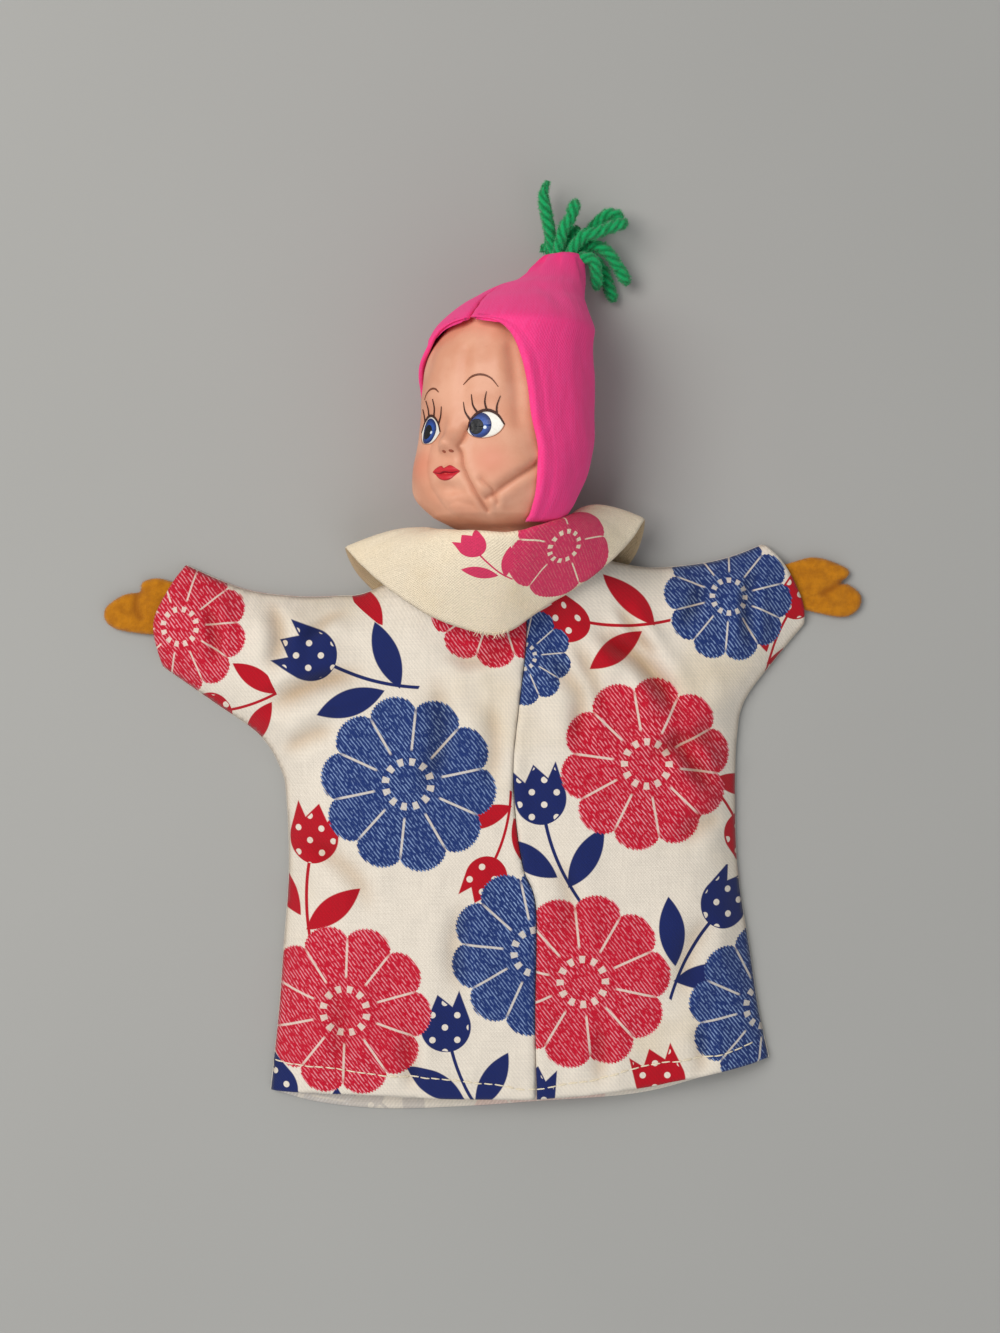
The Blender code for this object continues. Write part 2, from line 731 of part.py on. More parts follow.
def cut_sheet(outline, cell, lowest_y=None):
    """Flat sheet with an outline, cut into square cells above a lowest line."""
    work = bmesh.new()
    corners = [work.verts.new((x, y, 0.0)) for x, y in outline]
    face = work.faces.new(corners)
    if signed_area(outline) < 0.0:
        bmesh.ops.reverse_faces(work, faces=[face])
    work.normal_update()
    bmesh.ops.triangulate(work, faces=work.faces, ngon_method="EAR_CLIP")
    left = min(x for x, _ in outline)
    right = max(x for x, _ in outline)
    bottom = min(y for _, y in outline) if lowest_y is None else lowest_y
    top = max(y for _, y in outline)
    rows = grid_lines(bottom, top, cell)
    columns = grid_lines(left, right, cell)
    if lowest_y is not None:
        rows = [lowest_y] + rows
    for line_y in rows:
        cut(work, work.faces[:], (0.0, line_y, 0.0), (0.0, 1.0, 0.0))
    for line_x in columns:
        above = [item for item in work.faces if lowest_y is None or item.calc_center_median().y > lowest_y]
        cut(work, above, (line_x, 0.0, 0.0), (1.0, 0.0, 0.0))
    work.normal_update()
    inner = [edge for edge in work.edges if not edge.is_boundary and not on_lines(edge, rows, columns)]
    bmesh.ops.dissolve_edges(work, edges=inner, use_verts=False)
    spare = [vert for vert in work.verts if not vert.is_boundary and len(vert.link_edges) == 2]
    bmesh.ops.dissolve_verts(work, verts=spare)
    bmesh.ops.remove_doubles(work, verts=work.verts, dist=SMALLEST_CELL_EDGE)
    return work


def grid_lines(low, high, cell):
    """Multiples of the cell size between two values, clear of both ends."""
    first = math.ceil((low + 0.2 * cell) / cell)
    last = math.floor((high - 0.2 * cell) / cell)
    return [index * cell for index in range(first, last + 1)]


def on_lines(edge, rows, columns):
    """Whether an edge runs along one of the grid's lines."""
    first, second = edge.verts[0].co, edge.verts[1].co
    nearest_row = min(abs(first.y - row) for row in rows)
    nearest_column = min(abs(first.x - column) for column in columns)
    along_row = max(abs(first.y - second.y), nearest_row) < ON_LINE
    along_column = max(abs(first.x - second.x), nearest_column) < ON_LINE
    return along_row or along_column


def cut(work, faces, point, normal):
    """Cut the given faces along one plane."""
    edges = {edge for face in faces for edge in face.edges}
    verts = {vert for face in faces for vert in face.verts}
    geometry = list(faces) + list(edges) + list(verts)
    bmesh.ops.bisect_plane(work, geom=geometry, dist=MERGE_DISTANCE, plane_co=point, plane_no=normal)


def signed_area(outline):
    """Twice the area inside an outline, positive when it runs anticlockwise."""
    total = 0.0
    for (ax, ay), (bx, by) in zip(outline, outline[1:] + outline[:1]):
        total += ax * by - bx * ay
    return total


def build_front(materials, collection, root):
    """Two front halves that meet along the centre seam."""
    paths = glove_paths()
    seam = [(neck_centre()[0] + NECK_SEAM_SHIFT, NECK_EDGE_Y)] + on_pattern(CENTRE_SEAM)
    half_gap = 0.5 * SEAM_GAP
    left_seam = [(x - half_gap, y) for x, y in seam]
    right_seam = [(x + half_gap, y) for x, y in seam]
    hem_left = on_pattern(FRONT_HEM_LEFT) + [left_seam[-1]]
    hem_right = [right_seam[-1]] + on_pattern(FRONT_HEM_RIGHT)
    left = left_seam[:-1] + hem_left[::-1] + paths["left_side"][-2::-1]
    left += paths["left_cuff"][-2::-1] + paths["left_shoulder"][-2::-1]
    right = right_seam[:-1] + hem_right + paths["right_side"][-2::-1]
    right += paths["right_cuff"][-2::-1] + paths["right_shoulder"][-2::-1]
    for name, outline in (("front_left_panel", left), ("front_right_panel", right)):
        work = cut_sheet(outline, GLOVE_CELL)
        for vertex in work.verts:
            vertex.co = front_place(vertex.co.x, vertex.co.y, paths)
        panel = add_object(name, mesh_from(work, name), materials["cotton"], collection, root)
        thicken(panel, COTTON_THICKNESS, even=False)


def build_back(materials, collection, root):
    """One back sheet, flat on the table below the shoulders."""
    paths = glove_paths()
    outline = on_pattern(BACK_HEM) + paths["right_side"][-2::-1]
    outline += paths["right_cuff"][-2::-1] + paths["right_shoulder"][-2::-1]
    outline += paths["left_shoulder"][:-1] + paths["left_cuff"][:-1] + paths["left_side"][:-1]
    work = cut_sheet(outline, GLOVE_CELL, BACK_RISE_START_Y)
    for vertex in work.verts:
        vertex.co = back_place(vertex.co.x, vertex.co.y)
    bmesh.ops.reverse_faces(work, faces=work.faces)
    panel = add_object("back_panel", mesh_from(work, "back_panel"), materials["cotton"], collection, root)
    thicken(panel, COTTON_THICKNESS, even=False)


def build_collar(materials, collection, root):
    """Round sheet with a neck hole, bent over the shoulders."""
    centre_x, centre_z = neck_centre()
    ring_radius = neck_cloth_radius() + GAP + COLLAR_ROOM + COLLAR_THICKNESS
    edge = in_metres(COLLAR_EDGE)
    bend = in_metres(COLLAR_BEND)

    def place(across, up):
        """Point of the collar's outside, from the neck hole to the outer edge."""
        angle = 2.0 * math.pi * across
        inner = Vector((centre_x + ring_radius * math.cos(angle), COLLAR_RING_Y, 0.0))
        inner.z = centre_z + ring_radius * math.sin(angle)
        over = Vector(ring_through(bend, across * len(bend)))
        outer = Vector(ring_through(edge, across * len(edge)))
        return inner * (1.0 - up) ** 2 + over * (2.0 * up * (1.0 - up)) + outer * up**2

    mesh = grid_mesh("collar", COLLAR_COLUMNS, COLLAR_ROWS, place, closed=True, flip=True)
    collar = add_object("collar", mesh, materials["collar_cotton"], collection, root)
    thicken(collar, COLLAR_THICKNESS)


def build_hands(materials, collection, root):
    """Two flat felt mittens whose roots lie inside the cuffs."""
    base = COTTON_THICKNESS + GAP
    for name, outline in (("hand_left", HAND_LEFT_OUTLINE), ("hand_right", HAND_RIGHT_OUTLINE)):
        shape = bpy.data.curves.new(name, "CURVE")
        shape.dimensions = "2D"
        shape.fill_mode = "BOTH"
        shape.extrude = 0.5 * FELT_THICKNESS
        spline = shape.splines.new("POLY")
        spline.points.add(2 * len(outline) - 1)
        points = on_pattern(outline)
        for index, point in enumerate(spline.points):
            point.co = (*ring_through(points, index / 2.0), 0.0, 1.0)
        spline.use_cyclic_u = True
        shape.materials.append(materials["felt"])
        hand = bpy.data.objects.new(name, shape)
        hand.location.z = base + 0.5 * FELT_THICKNESS
        collection.objects.link(hand)
        hand.parent = root


def centre_on_table(collection, root):
    """Move the root so that the whole puppet's base is centred on the origin."""
    bpy.context.view_layer.update()
    graph = bpy.context.evaluated_depsgraph_get()
    points = []
    for item in collection.objects:
        if item.type == "EMPTY":
            continue
        evaluated = item.evaluated_get(graph)
        mesh = evaluated.to_mesh()
        points += [evaluated.matrix_world @ vertex.co for vertex in mesh.vertices]
        evaluated.to_mesh_clear()
    low = Vector([min(point[axis] for point in points) for axis in range(3)])
    high = Vector([max(point[axis] for point in points) for axis in range(3)])
    middle = 0.5 * (low + high)
    root.location = (-middle.x, -middle.y, -low.z)


def main():
    """Build the whole puppet."""
    clear_scene()
    materials = make_materials()
    collection = bpy.data.collections.new("elf_hand_puppet")
    bpy.context.scene.collection.children.link(collection)
    root = bpy.data.objects.new("puppet_root", None)
    collection.objects.link(root)
    build_head(materials, collection, root)
    build_hood(materials, collection, root)
    build_yarns(materials, collection, root)
    build_collar(materials, collection, root)
    build_front(materials, collection, root)
    build_back(materials, collection, root)
    build_hands(materials, collection, root)
    centre_on_table(collection, root)


main()
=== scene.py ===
"""Elf hand puppet lying on its back: painted head, flannel hood, yarn tuft, collar and printed glove."""
import logging
import math
import random
from dataclasses import dataclass, field
from enum import Enum
from functools import reduce
from typing import Callable, Sequence

import bpy
import numpy as np
from mathutils import Matrix, Vector, noise


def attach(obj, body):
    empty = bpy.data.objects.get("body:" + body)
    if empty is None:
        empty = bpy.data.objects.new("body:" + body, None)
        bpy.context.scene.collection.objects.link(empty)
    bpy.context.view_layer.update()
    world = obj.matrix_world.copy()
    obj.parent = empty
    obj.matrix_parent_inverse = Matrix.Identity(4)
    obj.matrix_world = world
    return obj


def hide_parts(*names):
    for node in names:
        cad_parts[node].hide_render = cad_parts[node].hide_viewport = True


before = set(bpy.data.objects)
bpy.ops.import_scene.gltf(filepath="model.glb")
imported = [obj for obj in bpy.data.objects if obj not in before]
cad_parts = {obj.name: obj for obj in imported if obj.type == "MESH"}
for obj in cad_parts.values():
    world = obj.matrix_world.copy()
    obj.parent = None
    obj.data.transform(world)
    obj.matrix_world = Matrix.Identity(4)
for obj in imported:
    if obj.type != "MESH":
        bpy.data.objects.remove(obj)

LOG = logging.getLogger("puppet")
MM = 0.001
SHIFT = np.array([-0.06, 1.41, 0.0])
Array = np.ndarray
Finish = bpy.types.Material
Point = tuple[float, ...]


# Curves, outlines and cloth patterns, all in millimetres


def smoothstep(low: float, high: float, value: Array) -> Array:
    """Rise smoothly from 0 at low to 1 at high.

    Args:
        low: Value where the rise starts.
        high: Value where the rise ends.
        value: Values to shape.

    Returns:
        Shares from 0 to 1.
    """
    share = np.clip((np.asarray(value, float) - low) / (high - low), 0.0, 1.0)
    return share * share * (3.0 - 2.0 * share)


def bell(value: Array, width: float) -> Array:
    """Round bump of height 1 where the value is 0, falling off over a width."""
    return np.exp(-((value / width) ** 2))


def rows_of(*columns: Array) -> Array:
    """Rows of coordinates from one array for each coordinate."""
    return np.stack([np.ravel(column) for column in columns], axis=1)


def flat_rows(x: Array, y: Array) -> Array:
    """Rows of three coordinates in the plane."""
    return rows_of(x, y, 0.0 * x)


def curve_points(points: Sequence[Point], positions: Array, closed: bool = False) -> Array:
    """Points on the smooth curve through the given ones.

    Args:
        points: Points that the curve goes through.
        positions: Places on it, counted in points.
        closed: Whether the curve runs back to its first point.

    Returns:
        One row for each position.
    """
    rows = np.asarray(points, float)
    count = len(rows)
    places = np.asarray(positions, float)
    if closed:
        index = np.floor(places).astype(int)
        picks = [rows[(index + step) % count] for step in (-1, 0, 1, 2)]
    else:
        index = np.minimum(places.astype(int), count - 2)
        picks = [rows[np.clip(index + step, 0, count - 1)] for step in (-1, 0, 1, 2)]
    share = (places - index)[..., None]
    before, start, end, after = picks
    bend = 2.0 * before - 5.0 * start + 4.0 * end - after
    twist = -before + 3.0 * start - 3.0 * end + after
    return 0.5 * (2.0 * start + (end - before) * share + bend * share**2 + twist * share**3)


def smooth_line(points: Sequence[Point], steps: int = 6) -> Array:
    """Fine line on the smooth curve through the points.

    Args:
        points: Points that the line goes through.
        steps: Steps between two points.

    Returns:
        The line's points.
    """
    return curve_points(points, np.arange((len(points) - 1) * steps + 1) / steps)


def distances_along(line: Array) -> Array:
    """Distance from a line's start to each of its points."""
    return np.concatenate([[0.0], np.cumsum(np.linalg.norm(np.diff(line, axis=0), axis=1))])


def line_length(line: Array) -> float:
    """Length of a line."""
    return float(np.sum(np.linalg.norm(np.diff(line, axis=0), axis=1)))


def even_line(points: Array, step: float) -> Array:
    """Points on a line at even distances.

    Args:
        points: The line.
        step: Distance wanted between two points.

    Returns:
        Points with nearly that distance between them, both ends kept.
    """
    along = distances_along(points)
    count = max(int(round(along[-1] / step)), 1)
    wanted = np.linspace(0.0, along[-1], count + 1)
    return np.stack([np.interp(wanted, along, points[:, axis]) for axis in range(points.shape[1])], axis=1)


def nearest_on_path(x: Array, y: Array, path: Sequence[Point]) -> tuple[Array, Array, Array, Array]:
    """Nearest point of a line of straight pieces to each given point.

    Args:
        x: First coordinates.
        y: Second coordinates.
        path: Points of the line.

    Returns:
        Distances, the nearest points' two coordinates, and how far along the line they are.
    """
    x, y = np.asarray(x, float), np.asarray(y, float)
    best = [np.full(x.shape, np.inf), *np.zeros((3, *x.shape))]
    run = 0.0
    line = np.asarray(path, float)[:, :2]
    for (ax, ay), (bx, by) in zip(line, line[1:]):
        length = math.hypot(bx - ax, by - ay)
        if length < 1e-9:
            continue
        share = np.clip(((x - ax) * (bx - ax) + (y - ay) * (by - ay)) / length**2, 0.0, 1.0)
        near_x, near_y = ax + share * (bx - ax), ay + share * (by - ay)
        away = np.hypot(x - near_x, y - near_y)
        found = (away, near_x, near_y, run + share * length)
        closer = away < best[0]
        best = [np.where(closer, new, old) for new, old in zip(found, best)]
        run += length
    return tuple(best)


def distance_to_path(x: Array, y: Array, path: Sequence[Point]) -> Array:
    """Distance in the plane from each point to a line."""
    return nearest_on_path(x, y, path)[0]


def inside_outline(x: Array, y: Array, outline: Array) -> Array:
    """Whether each point lies inside a closed outline."""
    hits = np.zeros(np.asarray(x).shape, bool)
    for (ax, ay), (bx, by) in zip(outline, np.roll(outline, -1, axis=0)):
        if ay == by:
            continue
        crosses = (ay > y) != (by > y)
        hits ^= crosses & (x < (bx - ax) * (y - ay) / (by - ay) + ax)
    return hits


def signed_area(outline: Array) -> float:
    """Area inside a closed outline in square millimetres, below 0 where it runs clockwise."""
    following = np.roll(outline, -1, axis=0)
    return float(np.sum(outline[:, 0] * following[:, 1] - following[:, 0] * outline[:, 1])) / 2.0


def soft_noise(points: Array, size: float, seed: float = 0.0) -> Array:
    """Smooth noise, about -1 to 1, at points.

    Args:
        points: Rows of three coordinates.
        size: Rough size of one bump, in the points' unit.
        seed: Moves the noise, so that pieces differ.

    Returns:
        One value for each row.
    """
    scaled = np.asarray(points, float) / size + seed
    return np.array([noise.noise(Vector(row)) for row in scaled]) * 1.6


@dataclass
class FlatCloth:
    """A flat pattern cut into small cells: points, cell corners and distance from the edge."""

    points: Array
    faces: Array
    edge_away: Array


def cut_cloth(outline: Array, cell: float) -> FlatCloth:
    """Cut a pattern into small square cells whose outer ones end on its outline.

    Args:
        outline: Closed outline.
        cell: Side of a cell.

    Returns:
        The pattern's mesh.
    """
    low = np.floor(outline.min(axis=0) / cell).astype(int) - 1
    high = np.ceil(outline.max(axis=0) / cell).astype(int) + 1
    xs = np.arange(low[0], high[0] + 1) * cell
    ys = np.arange(low[1], high[1] + 1) * cell
    middle_x, middle_y = np.meshgrid(xs[:-1] + cell / 2.0, ys[:-1] + cell / 2.0)
    kept = inside_outline(middle_x, middle_y, outline)
    padded = np.pad(kept, 1)
    uses = padded[:-1, :-1].astype(int) + padded[:-1, 1:] + padded[1:, :-1] + padded[1:, 1:]
    numbers = np.cumsum((uses > 0).ravel()).reshape(uses.shape) - 1
    grid_x, grid_y = np.meshgrid(xs, ys)
    points = np.stack([grid_x[uses > 0], grid_y[uses > 0]], axis=1)
    border = uses[uses > 0] < 4
    ring = np.vstack([outline, outline[:1]])
    _, near_x, near_y, _ = nearest_on_path(points[border, 0], points[border, 1], ring)
    points[border] = np.stack([near_x, near_y], axis=1)
    rows, columns = np.nonzero(kept)
    corners = [numbers[rows, columns], numbers[rows, columns + 1]]
    corners += [numbers[rows + 1, columns + 1], numbers[rows + 1, columns]]
    faces = np.stack(corners, axis=1)
    for _ in range(3):
        total = np.zeros_like(points)
        share = np.zeros(len(points))
        for first, second in ((0, 1), (1, 2), (2, 3), (3, 0)):
            for one, other in ((first, second), (second, first)):
                np.add.at(total, faces[:, one], points[faces[:, other]])
                np.add.at(share, faces[:, one], 1.0)
        inner = ~border
        points[inner] = 0.5 * points[inner] + 0.5 * total[inner] / share[inner, None]
    edge_away = distance_to_path(points[:, 0], points[:, 1], ring)
    edge_away[border] = 0.0
    return FlatCloth(points, faces, edge_away)


# Meshes


@dataclass
class Surface:
    """Mesh data on its way to an object: points in millimetres, faces and named values for shading."""

    points: Array
    faces: list
    values: dict[str, Array] = field(default_factory=dict)

    def joined(self, other: "Surface") -> "Surface":
        """Both surfaces as one, with the values that both have."""
        start = len(self.points)
        faces = list(self.faces) + [tuple(corner + start for corner in face) for face in other.faces]
        both = [name for name in self.values if name in other.values]
        shared = {name: np.concatenate([self.values[name], other.values[name]]) for name in both}
        return Surface(np.vstack([self.points, other.points]), faces, shared)


def vertex_normals(points: Array, faces: Array) -> Array:
    """Outward direction at each point of a mesh of four-sided faces."""
    normals = np.zeros_like(points)
    face_normals = np.cross(
        points[faces[:, 2]] - points[faces[:, 0]], points[faces[:, 3]] - points[faces[:, 1]]
    )
    for corner in range(4):
        np.add.at(normals, faces[:, corner], face_normals)
    length = np.linalg.norm(normals, axis=1)
    return normals / np.maximum(length, 1e-12)[:, None]


def sheet_solid(
    points: Array, faces: Array, thickness: Array, values: dict[str, Array], round_edge: float = 0.3
) -> Surface:
    """Give a sheet its thickness behind its outer face, with a rounded edge.

    Args:
        points: Points of the outer face.
        faces: Four corners for each face, anticlockwise seen from outside.
        thickness: Thickness at each point.
        values: Shading values at each point.
        round_edge: Share of the thickness that the edge loses on each face.

    Returns:
        A closed surface, with the value "inside" 0 outside and 1 behind.
    """
    normals = vertex_normals(points, faces)
    corners = faces.tolist()
    edges = dict.fromkeys(edge for face in corners for edge in zip(face, face[1:] + face[:1]))
    rim = [edge for edge in edges if edge[::-1] not in edges]
    edge_point = np.zeros(len(points), bool)
    edge_point[[corner for edge in rim for corner in edge]] = True
    drop = np.where(edge_point, round_edge, 0.0) * thickness
    outer = points - normals * drop[:, None]
    inner = points - normals * (thickness - drop)[:, None]
    count = len(points)
    both = corners + (faces[:, ::-1] + count).tolist()
    both += [(second, first, first + count, second + count) for first, second in rim]
    doubled = {name: np.concatenate([value, value]) for name, value in values.items()}
    doubled["inside"] = np.concatenate([np.zeros(count), np.ones(count)])
    return Surface(np.vstack([outer, inner]), both, doubled)


def grid_faces(columns: int, rows: int, around: bool = False) -> Array:
    """Faces of a grid of points, row after row.

    Args:
        columns: Points in a row.
        rows: Rows.
        around: Whether each row is a ring.

    Returns:
        Four corners for each face.
    """
    across = np.arange(columns if around else columns - 1)
    up = np.arange(rows - 1)
    column, row = np.meshgrid(across, up)
    after = (column + 1) % columns
    corners = [row * columns + column, row * columns + after]
    corners += [(row + 1) * columns + after, (row + 1) * columns + column]
    return np.stack([corner.ravel() for corner in corners], axis=1)


def tube(
    line: Array, radius: Array, sides: int, lobes: int = 0, twist: float = 0.0, depth: float = 0.0
) -> Surface:
    """Closed tube along a line, plain or with twisted lobes as plied yarn has.

    Args:
        line: Middle line.
        radius: Radius at each point of it.
        sides: Points around.
        lobes: Number of plies.
        twist: Turn in radians for each millimetre.
        depth: How far the grooves between plies go in, as a share of the radius.

    Returns:
        The tube's surface, with the value "groove".
    """
    tangent = np.gradient(line, axis=0)
    tangent /= np.maximum(np.linalg.norm(tangent, axis=1), 1e-9)[:, None]
    start = Vector(tangent[0]).orthogonal().normalized()
    side = np.zeros_like(line)
    current = np.array(start)
    for index, direction in enumerate(tangent):
        current = current - direction * float(np.dot(current, direction))
        current /= np.linalg.norm(current)
        side[index] = current
    other = np.cross(tangent, side)
    along = distances_along(line)
    angle = 2.0 * np.pi * np.arange(sides) / sides
    wave = np.cos(lobes * angle[None, :] + twist * along[:, None]) if lobes else np.zeros((len(line), sides))
    reach = np.asarray(radius, float).reshape(-1, 1) * (1.0 - depth * (0.5 - 0.5 * wave))
    points = line[:, None, :] + reach[:, :, None] * (
        np.cos(angle)[None, :, None] * side[:, None, :] + np.sin(angle)[None, :, None] * other[:, None, :]
    )
    flat = points.reshape(-1, 3)
    faces = grid_faces(sides, len(line), around=True).tolist()
    count = len(flat)
    flat = np.vstack([flat, line[:1], line[-1:]])
    last = count - sides
    for index in range(sides):
        after = (index + 1) % sides
        faces.append((after, index, count))
        faces.append((last + index, last + after, count + 1))
    groove = np.concatenate([(0.5 - 0.5 * wave).ravel(), [0.0, 0.0]])
    return Surface(flat, faces, {"groove": groove})


def blade(
    root: Vector, heading: Vector, bend: Vector, half: Vector, shape: Sequence[Point], lowest: float = 0.0
) -> list[Vector]:
    """Two rows of points along one thin bent fibre.

    Args:
        root: Where it starts.
        heading: Way to its tip.
        bend: How far its tip is bent aside.
        half: Half its width at the root.
        shape: Share of the way and share of the width for each pair of points.
        lowest: Height that its middle never goes below.

    Returns:
        The points, a left one and a right one in turn.
    """
    points = []
    for share, narrow in shape:
        spot = root + heading * share + bend * share**2
        spot.z = max(spot.z, lowest)
        points += [spot + half * narrow, spot - half * narrow]
    return points


def blade_faces(start: int, pairs: int) -> list[tuple[int, int, int, int]]:
    """Faces between the pairs of points of one fibre."""
    lows = range(start, start + 2 * (pairs - 1), 2)
    return [(low, low + 1, low + 3, low + 2) for low in lows]


def make_piece(
    name: str, surface: Surface, material: Finish, nodes: Sequence[str] = ()
) -> bpy.types.Object:
    """Put a surface in the scene as a piece that rides with the puppet.

    Args:
        name: The piece's name.
        surface: Its mesh, in millimetres in the part's own frame.
        material: Its finish.
        nodes: CAD nodes that it stands for.

    Returns:
        The new object.
    """
    mesh = bpy.data.meshes.new(name)
    mesh.from_pydata(((surface.points + SHIFT) * MM).tolist(), [], surface.faces)
    mesh.validate()
    for label, value in surface.values.items():
        kind = "FLOAT_VECTOR" if value.ndim == 2 else "FLOAT"
        store = mesh.attributes.new(label, kind, "POINT")
        store.data.foreach_set(
            "vector" if value.ndim == 2 else "value", np.asarray(value, np.float32).ravel()
        )
    mesh.shade_smooth()
    mesh.materials.append(material)
    piece = bpy.data.objects.new(name, mesh)
    bpy.context.scene.collection.objects.link(piece)
    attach(piece, "root")
    if nodes:
        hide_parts(*nodes)
    LOG.info("%s: %d points, %d faces", name, len(surface.points), len(surface.faces))
    return piece


# Shader nodes


Socket = bpy.types.NodeSocket
Colour = tuple[float, float, float]


def linear(red: int, green: int, blue: int) -> Colour:
    """Colour for a shader from screen values 0 to 255."""
    shares = (value / 255.0 for value in (red, green, blue))
    return tuple(share / 12.92 if share <= 0.04045 else ((share + 0.055) / 1.055) ** 2.4 for share in shares)


class Graph:
    """Adds nodes to one shader tree and joins them."""

    def __init__(self, tree: bpy.types.NodeTree) -> None:
        """Keep the tree that the nodes go into."""
        self.tree = tree

    def node(self, kind: str, **settings: object) -> bpy.types.Node:
        """Add a node.

        Args:
            kind: The node's type name.
            **settings: Values for the node's own properties.

        Returns:
            The node.
        """
        made = self.tree.nodes.new(kind)
        for name, value in settings.items():
            setattr(made, name, value)
        return made

    def put(self, socket: Socket, value: object) -> None:
        """Join a socket to another node's output, or set its value."""
        if isinstance(value, Socket):
            self.tree.links.new(value, socket)
        elif isinstance(value, tuple) and socket.type == "RGBA":
            socket.default_value = (*value[:3], 1.0)
        else:
            socket.default_value = value

    def fed(self, kind: str, values: dict[str | int, object], **settings: object) -> bpy.types.Node:
        """Add a node and fill its inputs, given by name or number."""
        made = self.node(kind, **settings)
        for key, value in values.items():
            self.put(made.inputs[key], value)
        return made

    def math(self, operation: str, *values: object) -> Socket:
        """Result of a number node."""
        return self.fed("ShaderNodeMath", dict(enumerate(values)), operation=operation).outputs[0]

    def times(self, first: object, second: object) -> Socket:
        """Product of two numbers."""
        return self.math("MULTIPLY", first, second)

    def vector(self, operation: str, *values: object) -> Socket:
        """Result of a vector node, a number where it gives one."""
        made = self.fed("ShaderNodeVectorMath", dict(enumerate(values)), operation=operation)
        return made.outputs["Value" if operation in ("LENGTH", "DISTANCE", "DOT_PRODUCT") else "Vector"]

    def mix(
        self, share: object, first: object, second: object, kind: str = "RGBA", mode: str = "MIX"
    ) -> Socket:
        """Blend of two colours, numbers or vectors.

        Args:
            share: How much of the second.
            first: Value at share 0.
            second: Value at share 1.
            kind: RGBA, FLOAT or VECTOR.
            mode: Blend mode for colours.

        Returns:
            The blended output.
        """
        made = self.node("ShaderNodeMix", data_type=kind)
        if kind == "RGBA":
            made.blend_type = mode
        ends = {
            "RGBA": ("A_Color", "B_Color", "Result_Color"), "FLOAT": ("A_Float", "B_Float", "Result_Float")
        }
        low, high, out = ends.get(kind, ("A_Vector", "B_Vector", "Result_Vector"))
        sockets = {socket.identifier: socket for socket in list(made.inputs) + list(made.outputs)}
        self.put(sockets["Factor_Float"], share)
        self.put(sockets[low], first)
        self.put(sockets[high], second)
        return sockets[out]

    def ramp(self, value: object, low: object, high: object, start: float = 0.0, end: float = 1.0) -> Socket:
        """Number that goes from start to end while the value goes from low to high."""
        ends = {"Value": value, "From Min": low, "From Max": high, "To Min": start, "To Max": end}
        return self.fed("ShaderNodeMapRange", ends, interpolation_type="SMOOTHSTEP").outputs["Result"]

    def grain(self, place: object, scale: float, detail: float = 2.0, roughness: float = 0.5) -> Socket:
        """Soft noise from 0 to 1."""
        values = {"Vector": place, "Scale": scale, "Detail": detail, "Roughness": roughness}
        return self.fed("ShaderNodeTexNoise", values).outputs["Fac"]

    def split(self, place: object) -> tuple[Socket, Socket, Socket]:
        """The three numbers of a vector."""
        return tuple(self.fed("ShaderNodeSeparateXYZ", {0: place}).outputs)

    def join(self, x: object, y: object, z: object = 0.0) -> Socket:
        """A vector from three numbers."""
        return self.fed("ShaderNodeCombineXYZ", {0: x, 1: y, 2: z}).outputs[0]

    def stored(self, name: str, kind: str = "Vector") -> Socket:
        """A value that the mesh carries."""
        return self.node("ShaderNodeAttribute", attribute_name=name).outputs[kind]

    def use(self, group: bpy.types.NodeTree, **values: object) -> dict[str, Socket]:
        """Place a node group.

        Args:
            group: The group.
            **values: Its inputs, with underscores for the blanks in their names.

        Returns:
            Its outputs by name.
        """
        named = {name.replace("_", " "): value for name, value in values.items()}
        made = self.fed("ShaderNodeGroup", named, node_tree=group)
        return {socket.name: socket for socket in made.outputs}

    def object_place(self) -> Socket:
        """Place in the piece's own metres."""
        return self.node("ShaderNodeTexCoord").outputs["Object"]

    def unit_place(self, where: object, centre: object, turn: object, size: object) -> Socket:
        """Place in a motif's own unit frame.

        Args:
            where: Place on the cloth.
            centre: The motif's middle.
            turn: Its three angles.
            size: Its size along each axis.

        Returns:
            The place, with the middle at 0 and the size as 1.
        """
        values = {"Vector": where, "Location": centre, "Rotation": turn, "Scale": size}
        return self.fed("ShaderNodeMapping", values, vector_type="TEXTURE").outputs[0]

    def bump(self, height: object, distance: float, strength: float) -> Socket:
        """Normal from a height of 0 to 1 over a real distance in metres."""
        values = {"Height": height, "Distance": distance, "Strength": strength}
        return self.fed("ShaderNodeBump", values).outputs["Normal"]


def make_group(
    name: str, inputs: dict[str, object], outputs: Sequence[str], build: Callable[["Graph", dict], dict]
) -> bpy.types.NodeTree:
    """Make a node group, once.

    Args:
        name: The group's name.
        inputs: Its inputs and their defaults: a number, or a tuple for a vector.
        outputs: Its outputs; a name that ends in Place gives a vector.
        build: Adds the nodes, from the inputs' sockets to the outputs' sockets.

    Returns:
        The group.
    """
    if name in bpy.data.node_groups:
        return bpy.data.node_groups[name]
    tree = bpy.data.node_groups.new(name, "ShaderNodeTree")
    for label, value in inputs.items():
        kind = "NodeSocketVector" if isinstance(value, tuple) else "NodeSocketFloat"
        tree.interface.new_socket(label, in_out="INPUT", socket_type=kind).default_value = value
    for label in outputs:
        kind = "NodeSocketVector" if label.endswith("Place") else "NodeSocketFloat"
        tree.interface.new_socket(label, in_out="OUTPUT", socket_type=kind)
    graph = Graph(tree)
    entry = graph.node("NodeGroupInput")
    made = build(graph, {socket.name: socket for socket in entry.outputs if socket.name})
    graph.fed("NodeGroupOutput", made)
    return tree


